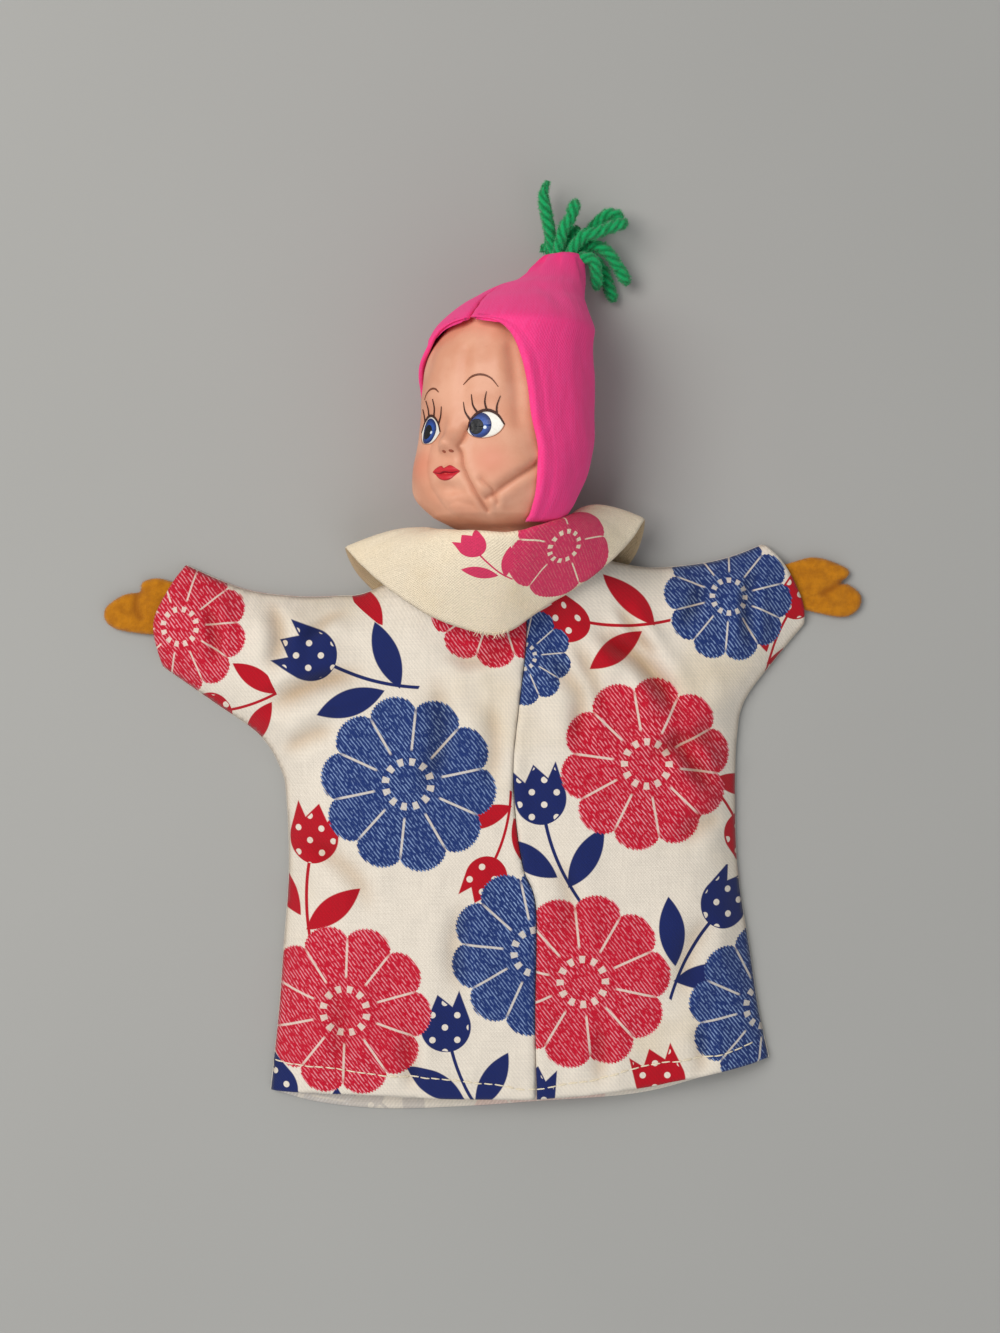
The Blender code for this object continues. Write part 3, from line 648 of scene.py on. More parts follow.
def nearest_motif_group() -> bpy.types.NodeTree:
    """Group that keeps whichever printed motif is nearest, as a place in its own unit frame."""

    def build(graph: Graph, entry: dict) -> dict:
        """Compare one motif with the best so far."""
        size = graph.join(entry["Size"], entry["Size"], entry["Size"])
        place = graph.unit_place(entry["Where"], entry["Centre"], graph.join(0.0, 0.0, entry["Turn"]), size)
        reach = graph.vector("LENGTH", place)
        closer = graph.math("LESS_THAN", reach, entry["Best Reach"])
        return {
            "Place": graph.mix(closer, entry["Best Place"], place, "VECTOR"),
            "Reach": graph.math("MINIMUM", reach, entry["Best Reach"]),
            "Tone": graph.mix(closer, entry["Best Tone"], entry["Tone"], "FLOAT"),
        }

    none = (0.0, 0.0, 0.0)
    inputs = {"Where": none, "Centre": none, "Turn": 0.0, "Size": 1.0, "Tone": 0.0}
    inputs |= {"Best Place": none, "Best Reach": 1.0, "Best Tone": 0.0}
    return make_group("Nearest motif", inputs, ("Place", "Reach", "Tone"), build)


def blossom_group() -> bpy.types.NodeTree:
    """Group that draws a round blossom with scalloped petals in the unit circle."""

    def build(graph: Graph, entry: dict) -> dict:
        """Petals, the pale lines between them, and the pale ring round the middle."""
        x, y, _ = graph.split(entry["Place"])
        reach = graph.vector("LENGTH", entry["Place"])
        angle = graph.math("ARCTAN2", y, x)
        fold = graph.math("ABSOLUTE", graph.math("SINE", graph.times(angle, entry["Half Petals"])))
        round_end = graph.math("POWER", fold, 0.55)
        edge = graph.math("ADD", graph.math("MULTIPLY_ADD", round_end, 0.16, 0.82), entry["Ragged"])
        petals = graph.ramp(graph.math("SUBTRACT", edge, reach), 0.0, 0.012)
        beside = graph.math("DIVIDE", graph.times(fold, reach), entry["Half Petals"])
        line = graph.ramp(beside, 0.018, 0.008)
        line = graph.times(line, graph.ramp(reach, 0.36, 0.40))
        line = graph.times(line, graph.ramp(reach, 0.86, 0.74))
        ring = graph.math("ABSOLUTE", graph.math("SUBTRACT", reach, 0.25))
        ring = graph.ramp(ring, 0.045, 0.035)
        dots = graph.math("SINE", graph.times(angle, 12.0))
        ring = graph.times(ring, graph.ramp(dots, -0.1, 0.2))
        return {"Petals": petals, "Pale": graph.math("MAXIMUM", line, ring)}

    inputs = {"Place": (0.0, 0.0, 0.0), "Half Petals": 5.0, "Ragged": 0.0}
    return make_group("Scalloped blossom", inputs, ("Petals", "Pale"), build)


def tulip_group() -> bpy.types.NodeTree:
    """Group that draws a tulip on a bowed stem with two leaves; the flower is one unit tall."""

    def build(graph: Graph, entry: dict) -> dict:
        """Cup with three points, stem, and a leaf on each side."""
        x, y, _ = graph.split(entry["Place"])
        wide = graph.math("ABSOLUTE", x)
        rise = graph.math("MINIMUM", graph.times(y, 2.3), 1.0)
        cup = graph.math(
            "SQRT", graph.math("MAXIMUM", graph.times(rise, graph.math("SUBTRACT", 2.0, rise)), 0.0)
        )
        lean = graph.math("MAXIMUM", graph.math("SUBTRACT", y, 0.45), 0.0)
        width = graph.times(graph.times(cup, 0.43), graph.math("MULTIPLY_ADD", lean, -0.25, 1.0))
        points = graph.math("DIVIDE", graph.math("PINGPONG", wide, 0.19), 0.19)
        top = graph.math("MULTIPLY_ADD", points, -0.26, 1.0)
        beside = graph.math("SUBTRACT", width, wide)
        below = graph.math("SUBTRACT", top, y)
        flower = graph.times(graph.ramp(beside, 0.0, 0.02), graph.ramp(below, 0.0, 0.03))
        flower = graph.times(flower, graph.math("GREATER_THAN", y, 0.0))
        inner = graph.times(graph.ramp(beside, 0.045, 0.06), graph.ramp(below, 0.05, 0.07))
        inner = graph.times(inner, flower)
        bow = graph.times(graph.times(y, y), 0.16)
        stem = graph.ramp(graph.math("ABSOLUTE", graph.math("SUBTRACT", x, bow)), 0.034, 0.022)
        stem = graph.times(stem, graph.math("LESS_THAN", y, 0.05))
        stem = graph.times(stem, graph.ramp(y, -1.35, -1.33))
        leaves = stem
        for across, up, turn, long, broad in (
            (-0.40, -0.48, 0.80, 0.58, 0.22), (0.52, -0.66, -0.74, 0.58, 0.21)
        ):
            place = graph.unit_place(entry["Place"], (across, up, 0.0), (0.0, 0.0, turn), (1.0, 1.0, 1.0))
            side, length, _ = graph.split(place)
            share = graph.math("DIVIDE", length, long)
            edge = graph.math("MULTIPLY_ADD", graph.times(share, share), -broad, broad)
            leaf = graph.ramp(graph.math("SUBTRACT", edge, graph.math("ABSOLUTE", side)), 0.0, 0.02)
            leaves = graph.math("MAXIMUM", leaves, leaf)
        return {"Flower": flower, "Inner": inner, "Leaves": leaves}

    return make_group("Tulip on a stem", {"Place": (0.0, 0.0, 0.0)}, ("Flower", "Inner", "Leaves"), build)


def dots_group() -> bpy.types.NodeTree:
    """Group that draws rows of round dots, every other row shifted by half a step."""

    def build(graph: Graph, entry: dict) -> dict:
        """Nearest dot of two square grids."""
        scaled = graph.vector("DIVIDE", entry["Place"], graph.join(entry["Step"], entry["Step"], 1.0))
        away = None
        for start in (0.0, 0.5):
            cell = graph.vector("FRACTION", graph.vector("ADD", scaled, (start, start, 0.0)))
            x, y, _ = graph.split(graph.vector("SUBTRACT", cell, (0.5, 0.5, 0.0)))
            reach = graph.vector("LENGTH", graph.join(x, y))
            away = reach if away is None else graph.math("MINIMUM", away, reach)
        edge = graph.math("DIVIDE", entry["Radius"], entry["Step"])
        return {"Dots": graph.ramp(graph.math("SUBTRACT", edge, away), -0.012, 0.012)}

    return make_group("Polka dots", {"Place": (0.0, 0.0, 0.0), "Step": 8.0, "Radius": 1.1}, ("Dots",), build)


def twill_group() -> bpy.types.NodeTree:
    """Group that draws the slanted pale flecks of coarse twill."""

    def build(graph: Graph, entry: dict) -> dict:
        """Slanted lines broken into dashes, and the steps that they make at an edge."""
        values = {"Vector": entry["Place"], "Angle": math.radians(52.0)}
        turned = graph.fed("ShaderNodeVectorRotate", values, rotation_type="Z_AXIS")
        scaled = graph.vector("DIVIDE", turned.outputs[0], graph.join(entry["Period"], entry["Period"], 1.0))
        along, across, _ = graph.split(scaled)
        wobble = graph.grain(scaled, 0.5, 2.0)
        wave = graph.math("PINGPONG", graph.math("MULTIPLY_ADD", wobble, 0.3, across), 0.5)
        thread = graph.ramp(wave, 0.25, 0.38)
        stretched = graph.join(graph.times(along, 0.42), graph.times(across, 1.2))
        dashes = graph.ramp(graph.grain(stretched, 1.3, 1.0), 0.42, 0.55)
        return {"Flecks": graph.times(thread, dashes), "Steps": graph.math("SUBTRACT", wave, 0.25)}

    return make_group("Twill flecks", {"Place": (0.0, 0.0, 0.0), "Period": 1.25}, ("Flecks", "Steps"), build)


def weave_group() -> bpy.types.NodeTree:
    """Group that gives the crossing threads of plain cloth: a height, and a shade that varies by thread."""

    def build(graph: Graph, entry: dict) -> dict:
        """Threads over and under each other."""
        scaled = graph.vector("DIVIDE", entry["Place"], graph.join(entry["Thread"], entry["Thread"], 1.0))
        x, y, z = graph.split(scaled)
        warp = graph.math("SINE", graph.times(x, math.pi))
        weft = graph.math("SINE", graph.times(y, math.pi))
        height = graph.math("MULTIPLY_ADD", graph.times(warp, weft), 0.5, 0.5)
        long_x = graph.grain(graph.join(graph.times(x, 1.1), graph.times(y, 0.05), z), 1.0, 2.0)
        long_y = graph.grain(graph.join(graph.times(x, 0.05), graph.times(y, 1.1), z), 1.0, 2.0)
        shade = graph.times(graph.math("ADD", long_x, long_y), 0.5)
        return {"Height": graph.math("MULTIPLY_ADD", shade, 0.5, height), "Shade": shade}

    return make_group("Plain weave", {"Place": (0.0, 0.0, 0.0), "Thread": 0.45}, ("Height", "Shade"), build)


# Finishes


def new_material(name: str, **values: object) -> tuple[Finish, Graph, bpy.types.Node]:
    """Material with one Principled shader.

    Args:
        name: The material's name.
        **values: Values for the shader's own sockets, with underscores for blanks.

    Returns:
        The material, its graph and its shader.
    """
    material = bpy.data.materials.new(name)
    material.use_nodes = True
    graph = Graph(material.node_tree)
    shader = material.node_tree.nodes["Principled BSDF"]
    for label, value in values.items():
        graph.put(shader.inputs[label.replace("_", " ")], value)
    return material, graph, shader


def dress(
    graph: Graph, shader: bpy.types.Node, colour: Socket, rough: Socket, relief: tuple[Socket, float, float]
) -> None:
    """Give a shader its colour, roughness and fine relief.

    Args:
        graph: The material's graph.
        shader: Its shader.
        colour: Base colour.
        rough: Roughness.
        relief: Height of 0 to 1, its real distance in metres, and its strength.
    """
    graph.put(shader.inputs["Base Color"], colour)
    graph.put(shader.inputs["Roughness"], rough)
    graph.put(shader.inputs["Normal"], graph.bump(*relief))


class Tone(Enum):
    """Which of a motif's two inks it is printed in."""

    WARM = 0.0
    COOL = 1.0


@dataclass(frozen=True)
class Motif:
    """A printed motif: centre and size in millimetres, turn in degrees, and its ink."""

    x: float
    y: float
    size: float
    turn: float
    tone: Tone


@dataclass(frozen=True)
class PrintedCotton:
    """Cream cotton with round blossoms in open twill inks and dotted tulips on stems."""

    name: str
    blossoms: tuple[Motif, ...]
    tulips: tuple[Motif, ...]
    cream: Colour = linear(234, 223, 207)
    aged: Colour = linear(222, 203, 170)
    rose: Colour = linear(198, 12, 44)
    blue: Colour = linear(28, 52, 112)
    crimson: Colour = linear(184, 3, 28)
    navy: Colour = linear(22, 36, 96)
    fleck: Colour = linear(240, 156, 166)
    cool_fleck: Colour = linear(140, 164, 204)
    # Tint for painted shade in folds and soil at sewn edges.
    painted_shade_and_soil: Colour = linear(196, 168, 132)
    thread: float = 0.42
    twill: float = 0.94

    def chain(
        self, graph: Graph, where: Socket, motifs: tuple[Motif, ...], reach: float
    ) -> dict[str, object]:
        """Pick the nearest of several motifs at each place.

        Args:
            graph: The material's graph.
            where: Place on the cloth in millimetres.
            motifs: The motifs.
            reach: Furthest place that a motif reaches, in its own unit.

        Returns:
            Sockets Place, Reach and Tone of the nearest motif.
        """
        best: dict[str, object] = {"Place": (9.0, 9.0, 0.0), "Reach": reach, "Tone": 0.0}
        for motif in motifs:
            best = graph.use(
                nearest_motif_group(),
                Where=where,
                Centre=(motif.x, motif.y, 0.0),
                Turn=math.radians(motif.turn),
                Size=motif.size,
                Tone=motif.tone.value,
                Best_Place=best["Place"],
                Best_Reach=best["Reach"],
                Best_Tone=best["Tone"],
            )
        return best

    def build(self) -> Finish:
        """Make the material."""
        sheen = {"Sheen_Weight": 0.12, "Sheen_Roughness": 0.5}
        material, graph, shader = new_material(self.name, Roughness=0.86, Specular_IOR_Level=0.25, **sheen)
        where = graph.stored("print")
        weave = graph.use(weave_group(), Place=where, Thread=self.thread)
        twill = graph.use(twill_group(), Place=where, Period=self.twill)
        old = graph.ramp(graph.grain(where, 0.022, 3.0), 0.50, 0.78)
        ground = graph.mix(graph.times(old, 0.55), self.cream, self.aged)
        tulip = self.chain(graph, where, self.tulips, 1.7)
        drawn = graph.use(tulip_group(), Place=tulip["Place"])
        dots = graph.use(dots_group(), Place=where, Step=7.4, Radius=0.95)["Dots"]
        dots = graph.times(dots, drawn["Inner"])
        ink = graph.mix(tulip["Tone"], self.crimson, self.navy)
        cover = graph.math("MAXIMUM", drawn["Flower"], drawn["Leaves"])
        cloth = graph.mix(cover, ground, ink)
        cloth = graph.mix(dots, cloth, self.cream)
        blossom = self.chain(graph, where, self.blossoms, 1.05)
        ragged = graph.times(twill["Steps"], 0.05)
        petals = graph.use(blossom_group(), Place=blossom["Place"], Half_Petals=5.0, Ragged=ragged)
        ink = graph.mix(blossom["Tone"], self.rose, self.blue)
        fleck = graph.mix(blossom["Tone"], self.fleck, self.cool_fleck)
        worn = graph.ramp(graph.grain(where, 0.05, 3.0), 0.35, 0.70, 0.62, 0.95)
        ink = graph.mix(graph.times(twill["Flecks"], worn), ink, fleck)
        ink = graph.mix(graph.times(petals["Pale"], 0.8), ink, self.cream)
        cloth = graph.mix(petals["Petals"], cloth, ink)
        behind = graph.times(graph.stored("inside", "Fac"), 0.78)
        cloth = graph.mix(behind, cloth, self.cream)
        shade = graph.ramp(weave["Shade"], 0.25, 0.75, 0.90, 1.05)
        shade = graph.times(shade, graph.ramp(twill["Steps"], -0.25, 0.25, 0.935, 1.025))
        cloth = graph.mix(1.0, cloth, graph.join(shade, shade, shade), mode="MULTIPLY")
        # Painted shade in the folds and soil at the sewn edges, multiplied into the cloth.
        cloth = graph.mix(graph.stored("painted_shade_and_soil", "Fac"), cloth, self.painted_shade_and_soil, mode="MULTIPLY")
        height = graph.math("MULTIPLY_ADD", twill["Flecks"], 0.25, weave["Height"])
        dress(graph, shader, cloth, graph.ramp(weave["Shade"], 0.2, 0.8, 0.80, 0.92), (height, 0.00009, 0.8))
        return material


@dataclass(frozen=True)
class Flannel:
    """Brushed flannel with upright ribs and a soft bloom."""

    name: str = "pink_flannel"
    colour: Colour = linear(255, 70, 144)
    deep: Colour = linear(255, 40, 120)
    pale: Colour = linear(255, 150, 200)

    def build(self) -> Finish:
        """Make the material."""
        sheen = {"Sheen_Weight": 0.4, "Sheen_Roughness": 0.5, "Sheen_Tint": self.pale}
        material, graph, shader = new_material(self.name, Roughness=0.88, Specular_IOR_Level=0.2, **sheen)
        where = graph.stored("cloth")
        weave = graph.use(weave_group(), Place=where, Thread=0.5)
        x, y, z = graph.split(where)
        ribs = graph.grain(graph.join(graph.times(x, 1.5), graph.times(y, 0.22), z), 1.0, 3.0)
        nap = graph.grain(where, 2.6, 4.0, 0.65)
        colour = graph.mix(graph.ramp(ribs, 0.30, 0.70), self.deep, self.colour)
        colour = graph.mix(0.62, colour, self.colour)
        colour = graph.mix(graph.ramp(nap, 0.48, 0.80, 0.0, 0.22), colour, self.pale)
        # Painted shade: darker in the gathers at the tip and along the middle seam.
        colour = graph.mix(graph.times(graph.stored("fold", "Fac"), 0.7), colour, self.deep)
        height = graph.math("ADD", graph.times(ribs, 0.8), graph.times(weave["Height"], 0.5))
        height = graph.math("ADD", height, graph.times(nap, 0.6))
        dress(graph, shader, colour, graph.ramp(nap, 0.3, 0.7, 0.82, 0.95), (height, 0.00016, 0.8))
        return material


@dataclass(frozen=True)
class CollarCloth:
    """Warm cream crepe with one large plain raspberry blossom, printed off centre."""

    name: str = "cream_crepe"
    cream: Colour = linear(252, 235, 206)
    stain: Colour = linear(240, 214, 168)
    # Painted shade for the collar's underside.
    underside_shade: Colour = linear(186, 158, 118)
    raspberry: Colour = linear(226, 58, 102)
    blossom: Motif = Motif(17.5, -26.0, 17.5, 20.0, Tone.WARM)
    tulip: Motif = Motif(-6.5, -27.0, 9.0, 38.0, Tone.WARM)

    def build(self) -> Finish:
        """Make the material."""
        surface = {"Roughness": 0.88, "Specular_IOR_Level": 0.2, "Sheen_Weight": 0.12}
        material, graph, shader = new_material(self.name, **surface)
        where = graph.stored("print")
        weave = graph.use(weave_group(), Place=where, Thread=0.5)
        twill = graph.use(twill_group(), Place=where, Period=0.9)
        crepe = graph.grain(where, 1.1, 5.0, 0.75)
        aged = graph.ramp(graph.grain(where, 0.05, 3.0), 0.40, 0.80)
        ground = graph.mix(graph.times(aged, 0.45), self.cream, self.stain)
        flower, bud = (
            graph.unit_place(where, (m.x, m.y, 0.0), (0.0, 0.0, math.radians(m.turn)), (m.size, m.size, 1.0))
            for m in (self.blossom, self.tulip)
        )
        ragged = graph.times(twill["Steps"], 0.03)
        petals = graph.use(blossom_group(), Place=flower, Half_Petals=2.5, Ragged=ragged)
        sprig = graph.use(tulip_group(), Place=bud)
        ink = graph.mix(graph.times(twill["Flecks"], 0.10), self.raspberry, self.cream)
        ink = graph.mix(petals["Pale"], ink, self.cream)
        cloth = graph.mix(petals["Petals"], ground, ink)
        cloth = graph.mix(graph.math("MAXIMUM", sprig["Flower"], sprig["Leaves"]), cloth, self.raspberry)
        # Painted shade: the collar's underside is darkened to a brownish cream.
        cloth = graph.mix(graph.times(graph.stored("inside", "Fac"), 0.85), cloth, self.underside_shade)
        tone = graph.times(
            graph.ramp(crepe, 0.28, 0.72, 0.90, 1.04), graph.ramp(weave["Shade"], 0.25, 0.75, 0.94, 1.03)
        )
        cloth = graph.mix(1.0, cloth, graph.join(tone, tone, tone), mode="MULTIPLY")
        height = graph.math("ADD", graph.times(weave["Height"], 0.5), crepe)
        dress(graph, shader, cloth, graph.ramp(crepe, 0.3, 0.7, 0.82, 0.94), (height, 0.00032, 1.0))
        return material


@dataclass(frozen=True)
class Felt:
    """Pressed wool felt, mottled and fuzzy."""

    name: str = "mustard_felt"
    colour: Colour = linear(204, 130, 12)
    deep: Colour = linear(150, 84, 4)
    pale: Colour = linear(228, 166, 60)

    def build(self) -> Finish:
        """Make the material."""
        surface = {"Roughness": 0.95, "Specular_IOR_Level": 0.15, "Sheen_Weight": 0.25}
        material, graph, shader = new_material(self.name, **surface)
        where = graph.stored("cloth")
        clumps = graph.grain(where, 0.35, 4.0, 0.6)
        fibres = graph.grain(where, 2.4, 5.0, 0.75)
        colour = graph.mix(graph.ramp(clumps, 0.30, 0.72), self.deep, self.colour)
        colour = graph.mix(0.45, colour, self.colour)
        colour = graph.mix(graph.ramp(fibres, 0.52, 0.78, 0.0, 0.45), colour, self.pale)
        # Painted shade along the pressed lines between fingers and thumb.
        colour = graph.mix(graph.times(graph.stored("fold", "Fac"), 0.75), colour, self.deep)
        height = graph.math("ADD", fibres, graph.times(clumps, 0.8))
        dress(graph, shader, colour, graph.ramp(fibres, 0.3, 0.7, 0.88, 0.99), (height, 0.00035, 0.9))
        return material


@dataclass(frozen=True)
class Yarn:
    """Fuzzy wool yarn, with painted shade between its plies and at its fibres' roots."""

    name: str = "green_yarn"
    colour: Colour = linear(18, 170, 98)
    deep: Colour = linear(4, 116, 62)
    pale: Colour = linear(66, 202, 134)

    def build(self) -> Finish:
        """Make the material."""
        surface = {"Roughness": 0.95, "Specular_IOR_Level": 0.1, "Sheen_Weight": 0.35}
        material, graph, shader = new_material(self.name, **surface)
        where = graph.object_place()
        fluff = graph.grain(where, 1900.0, 4.0, 0.7)
        # Painted shade: darker in the grooves between plies and towards each fibre's root.
        groove = graph.ramp(graph.stored("groove", "Fac"), 0.2, 1.0, 0.0, 0.8)
        colour = graph.mix(groove, self.colour, self.deep)
        colour = graph.mix(graph.ramp(fluff, 0.5, 0.8, 0.0, 0.4), colour, self.pale)
        dress(graph, shader, colour, graph.ramp(fluff, 0.3, 0.7, 0.88, 0.99), (fluff, 0.0003, 0.8))
        return material


@dataclass(frozen=True)
class MouldedSkin:
    """Thin moulded head, satin, with painted shade and dirt in its creases and a blush on its cheeks."""

    name: str = "peach_shell"
    colour: Colour = linear(219, 153, 122)
    blush: Colour = linear(218, 134, 106)
    # Tint for painted shade and dirt in the creases, and for scuffs.
    painted_shade_and_dust: Colour = linear(162, 94, 68)
    light: Colour = linear(229, 170, 140)

    def build(self) -> Finish:
        """Make the material."""
        material, graph, shader = new_material(self.name, Roughness=0.42, Specular_IOR_Level=0.4)
        place = graph.stored("face")
        where = graph.object_place()
        mottle = graph.grain(where, 90.0, 4.0)
        pits = graph.grain(where, 1400.0, 3.0)
        colour = graph.mix(graph.ramp(mottle, 0.35, 0.70), self.colour, self.light)
        x, y, _ = graph.split(place)
        for side in (-1.0, 1.0):
            across = graph.math("DIVIDE", graph.math("SUBTRACT", x, 12.5 * side), 8.0)
            up = graph.math("DIVIDE", graph.math("ADD", y, 12.5), 6.5)
            reach = graph.vector("LENGTH", graph.join(across, up))
            colour = graph.mix(graph.ramp(reach, 1.1, 0.1, 0.0, 0.7), colour, self.blush)
        # Painted shade and dirt: the colour darkens in the head's creases.
        crease = graph.ramp(graph.stored("crease", "Fac"), 0.15, 1.0, 0.0, 0.62)
        colour = graph.mix(crease, colour, self.painted_shade_and_dust)
        scuff = graph.ramp(graph.grain(where, 300.0, 5.0, 0.7), 0.60, 0.80, 0.0, 0.22)
        colour = graph.mix(scuff, colour, self.painted_shade_and_dust)
        rough = graph.math("MULTIPLY_ADD", crease, 0.25, graph.ramp(mottle, 0.3, 0.7, 0.40, 0.54))
        height = graph.math("MULTIPLY_ADD", pits, 0.35, mottle)
        dress(graph, shader, colour, rough, (height, 0.00022, 0.35))
        return material


@dataclass(frozen=True)
class Paint:
    """Hand-laid gloss paint, a little uneven, darker towards a rim where it has one."""

    name: str
    colour: Colour
    rim: Colour
    gloss: float = 0.28

    def build(self) -> Finish:
        """Make the material."""
        material, graph, shader = new_material(self.name, Roughness=self.gloss, Specular_IOR_Level=0.35)
        where = graph.object_place()
        strokes = graph.grain(where, 1500.0, 3.0)
        colour = graph.mix(graph.ramp(graph.stored("rim", "Fac"), 0.45, 1.0), self.colour, self.rim)
        colour = graph.mix(graph.ramp(strokes, 0.45, 0.85, 0.0, 0.35), colour, self.rim)
        rough = graph.ramp(strokes, 0.3, 0.7, self.gloss, self.gloss + 0.16)
        dress(graph, shader, colour, rough, (strokes, 0.00005, 0.4))
        return material


@dataclass(frozen=True)
class Thread:
    """Twisted sewing thread."""

    name: str = "cream_thread"
    colour: Colour = linear(252, 244, 224)
    deep: Colour = linear(222, 204, 168)

    def build(self) -> Finish:
        """Make the material."""
        material, graph, shader = new_material(self.name, Roughness=0.8, Specular_IOR_Level=0.3)
        groove = graph.stored("groove", "Fac")
        where = graph.object_place()
        fluff = graph.grain(where, 3000.0, 3.0)
        # Painted shade in the grooves between the thread's plies.
        colour = graph.mix(groove, self.colour, self.deep)
        colour = graph.mix(graph.ramp(fluff, 0.4, 0.8, 0.0, 0.4), colour, self.deep)
        dress(graph, shader, colour, graph.ramp(fluff, 0.3, 0.7, 0.72, 0.88), (fluff, 0.0001, 0.5))
        return material


@dataclass(frozen=True)
class TableTop:
    """Plain pale table, very slightly mottled."""

    name: str = "pale_table"
    colour: Colour = linear(171, 170, 166)
    other: Colour = linear(165, 164, 160)

    def build(self) -> Finish:
        """Make the material."""
        material, graph, shader = new_material(self.name, Roughness=0.75, Specular_IOR_Level=0.2)
        where = graph.object_place()
        graph.put(
            shader.inputs["Base Color"], graph.mix(graph.grain(where, 6.0, 3.0), self.colour, self.other)
        )
        return material


# Head


@dataclass
class Head:
    """Hollow moulded head that looks to one side, with a painted face."""

    x: float = 5.9
    y: float = 63.0
    turn: float = math.radians(35.5)
    nod: float = 0.10
    neck_radius: float = 12.5
    neck_set_back: float = 3.0
    neck_start: float = -28.0
    neck_length: float = 10.5
    wall: float = 1.2
    hood_room: float = 2.2
    around_unit: float = 25.0
    broad_dent: float = 2.0
    mesh_front: float = 66.0
    sections: tuple[Point, ...] = (
        (36.0, 0.0, 0.0, 0.0), (33.5, 8.5, 8.5, 9.5), (28.0, 15.0, 15.5, 18.0), (20.0, 20.8, 20.8, 23.5),
        (10.0, 22.8, 23.6, 26.2), (0.0, 23.8, 23.6, 27.0), (-8.0, 25.0, 24.2, 24.5),
        (-15.0, 25.8, 24.8, 20.5), (-21.5, 23.5, 23.8, 15.5), (-26.5, 19.0, 20.5, 12.5),
    )
    neck_rings: tuple[Point, ...] = ((0.20, 0.50), (0.38, 0.94), (0.66, 1.0), (1.0, 1.0))
    forms: tuple[Point, ...] = (
        (0.0, -7.2, 2.8, 2.6, 4.3), (0.0, -2.5, 2.6, 4.0, 1.3), (2.6, -8.4, 1.5, 1.3, 1.2),
        (-2.6, -8.4, 1.5, 1.3, 1.2), (13.5, -12.5, 6.5, 6.5, 1.6), (-14.0, -13.0, 7.0, 7.0, 1.5),
        (20.5, -11.0, 5.5, 5.0, 1.2), (-1.0, -14.6, 4.4, 1.3, 1.3), (-1.0, -17.2, 3.4, 1.3, 1.2),
        (-1.2, -15.6, 4.4, 0.45, -0.7), (0.0, -20.2, 4.5, 1.6, -0.9), (0.0, -24.8, 6.0, 3.4, 1.7),
        (9.4, -2.4, 4.8, 4.0, -0.8), (-9.4, -2.4, 4.8, 4.0, -0.8), (9.2, 6.6, 6.0, 2.2, 0.5),
        (-9.2, 6.6, 6.0, 2.2, 0.5), (14.8, 15.7, 3.0, 9.0, 0.7), (-23.5, -21.5, 8.0, 5.0, 1.5),
    )
    dents: tuple[tuple, ...] = (
        (((4.6, -3.0), (3.0, -8.3), (3.6, -12.8), (5.4, -17.2), (7.6, -21.4), (10.4, -26.0)), 0.75, 1.25),
        (((25.5, -13.4), (20.5, -16.6), (16.9, -18.9), (13.8, -21.0), (10.6, -22.6)), 1.0, 1.4),
        (((9.6, -17.6), (12.6, -20.4), (14.0, -24.0)), 0.7, 0.8),
        (((-9.1, -7.2), (-9.1, -13.5), (-8.6, -19.5), (-6.5, -22.6), (-2.1, -27.0)), 1.2, 0.35),
        (((3.2, 18.6), (3.6, 12.0), (3.3, 4.6)), 2.6, 0.9),
        (((18.6, 19.0), (19.6, 9.0), (20.6, -1.0)), 2.2, 0.7),
        (((6.0, -24.6), (1.6, -23.4), (-2.4, -24.2)), 0.8, 0.35),
    )

    def __post_init__(self) -> None:
        """Tabulate the plain head's sections by height."""
        last = len(self.sections) - 1
        positions = np.linspace(0.0, last, 1800)
        mirrored = (self.sections[1][0], *[-value for value in self.sections[1][1:]])
        table = curve_points((mirrored, *self.sections), positions + 1.0)
        self.table = table[np.argsort(table[:, 0])]

    def size_at(self, height: Array) -> Array:
        """Half width, front depth and back depth of the skull at each height, as columns."""
        columns = [np.interp(height, self.table[:, 0], self.table[:, axis]) for axis in (1, 2, 3)]
        return np.stack(columns, axis=-1)

    def section_radius(self, around: Array, sizes: Array) -> Array:
        """Radius of an egg-shaped section in each direction, 0 being towards the nose."""
        depth = np.where(np.cos(around) >= 0.0, sizes[..., 1], sizes[..., 2])
        depth = np.maximum(depth, 1e-6)
        half = np.maximum(sizes[..., 0], 1e-6)
        return 1.0 / np.hypot(np.cos(around) / depth, np.sin(around) / half)

    def creases(self, around: Array, height: Array) -> Array:
        """How deep each place lies in a crease, 0 to about 1."""
        across = around * self.around_unit
        deep = np.zeros(np.shape(across))
        for path, width, depth in self.dents:
            if width < self.broad_dent:
                away = distance_to_path(across, height, path)
                deep = np.maximum(deep, min(depth, 1.0) * np.exp(-((away / (width * 0.8)) ** 1.4)))
        return deep

    def relief(self, around: Array, height: Array) -> Array:
        """How far the face stands out of, or is pressed into, the plain head."""
        across = around * self.around_unit
        rise = np.zeros(np.shape(across))
        for centre, up, width, tall, amount in self.forms:
            rise += amount * np.exp(-(((across - centre) / width) ** 2 + ((height - up) / tall) ** 2))
        for path, width, depth in self.dents:
            away = distance_to_path(across, height, path)
            if width < self.broad_dent:
                shoulder = 0.22 * bell(away - 2.6 * width, 1.6 * width)
                rise -= depth * (np.exp(-((away / width) ** 1.5)) - shoulder)
            else:
                rise -= depth * bell(away, width)
        return rise

    def centre_z(self) -> float:
        """Height of the head's centre above the table."""
        down = np.array(math.pi - self.turn)
        return float(self.section_radius(down, np.array(self.sections[5][1:]))) + self.hood_room

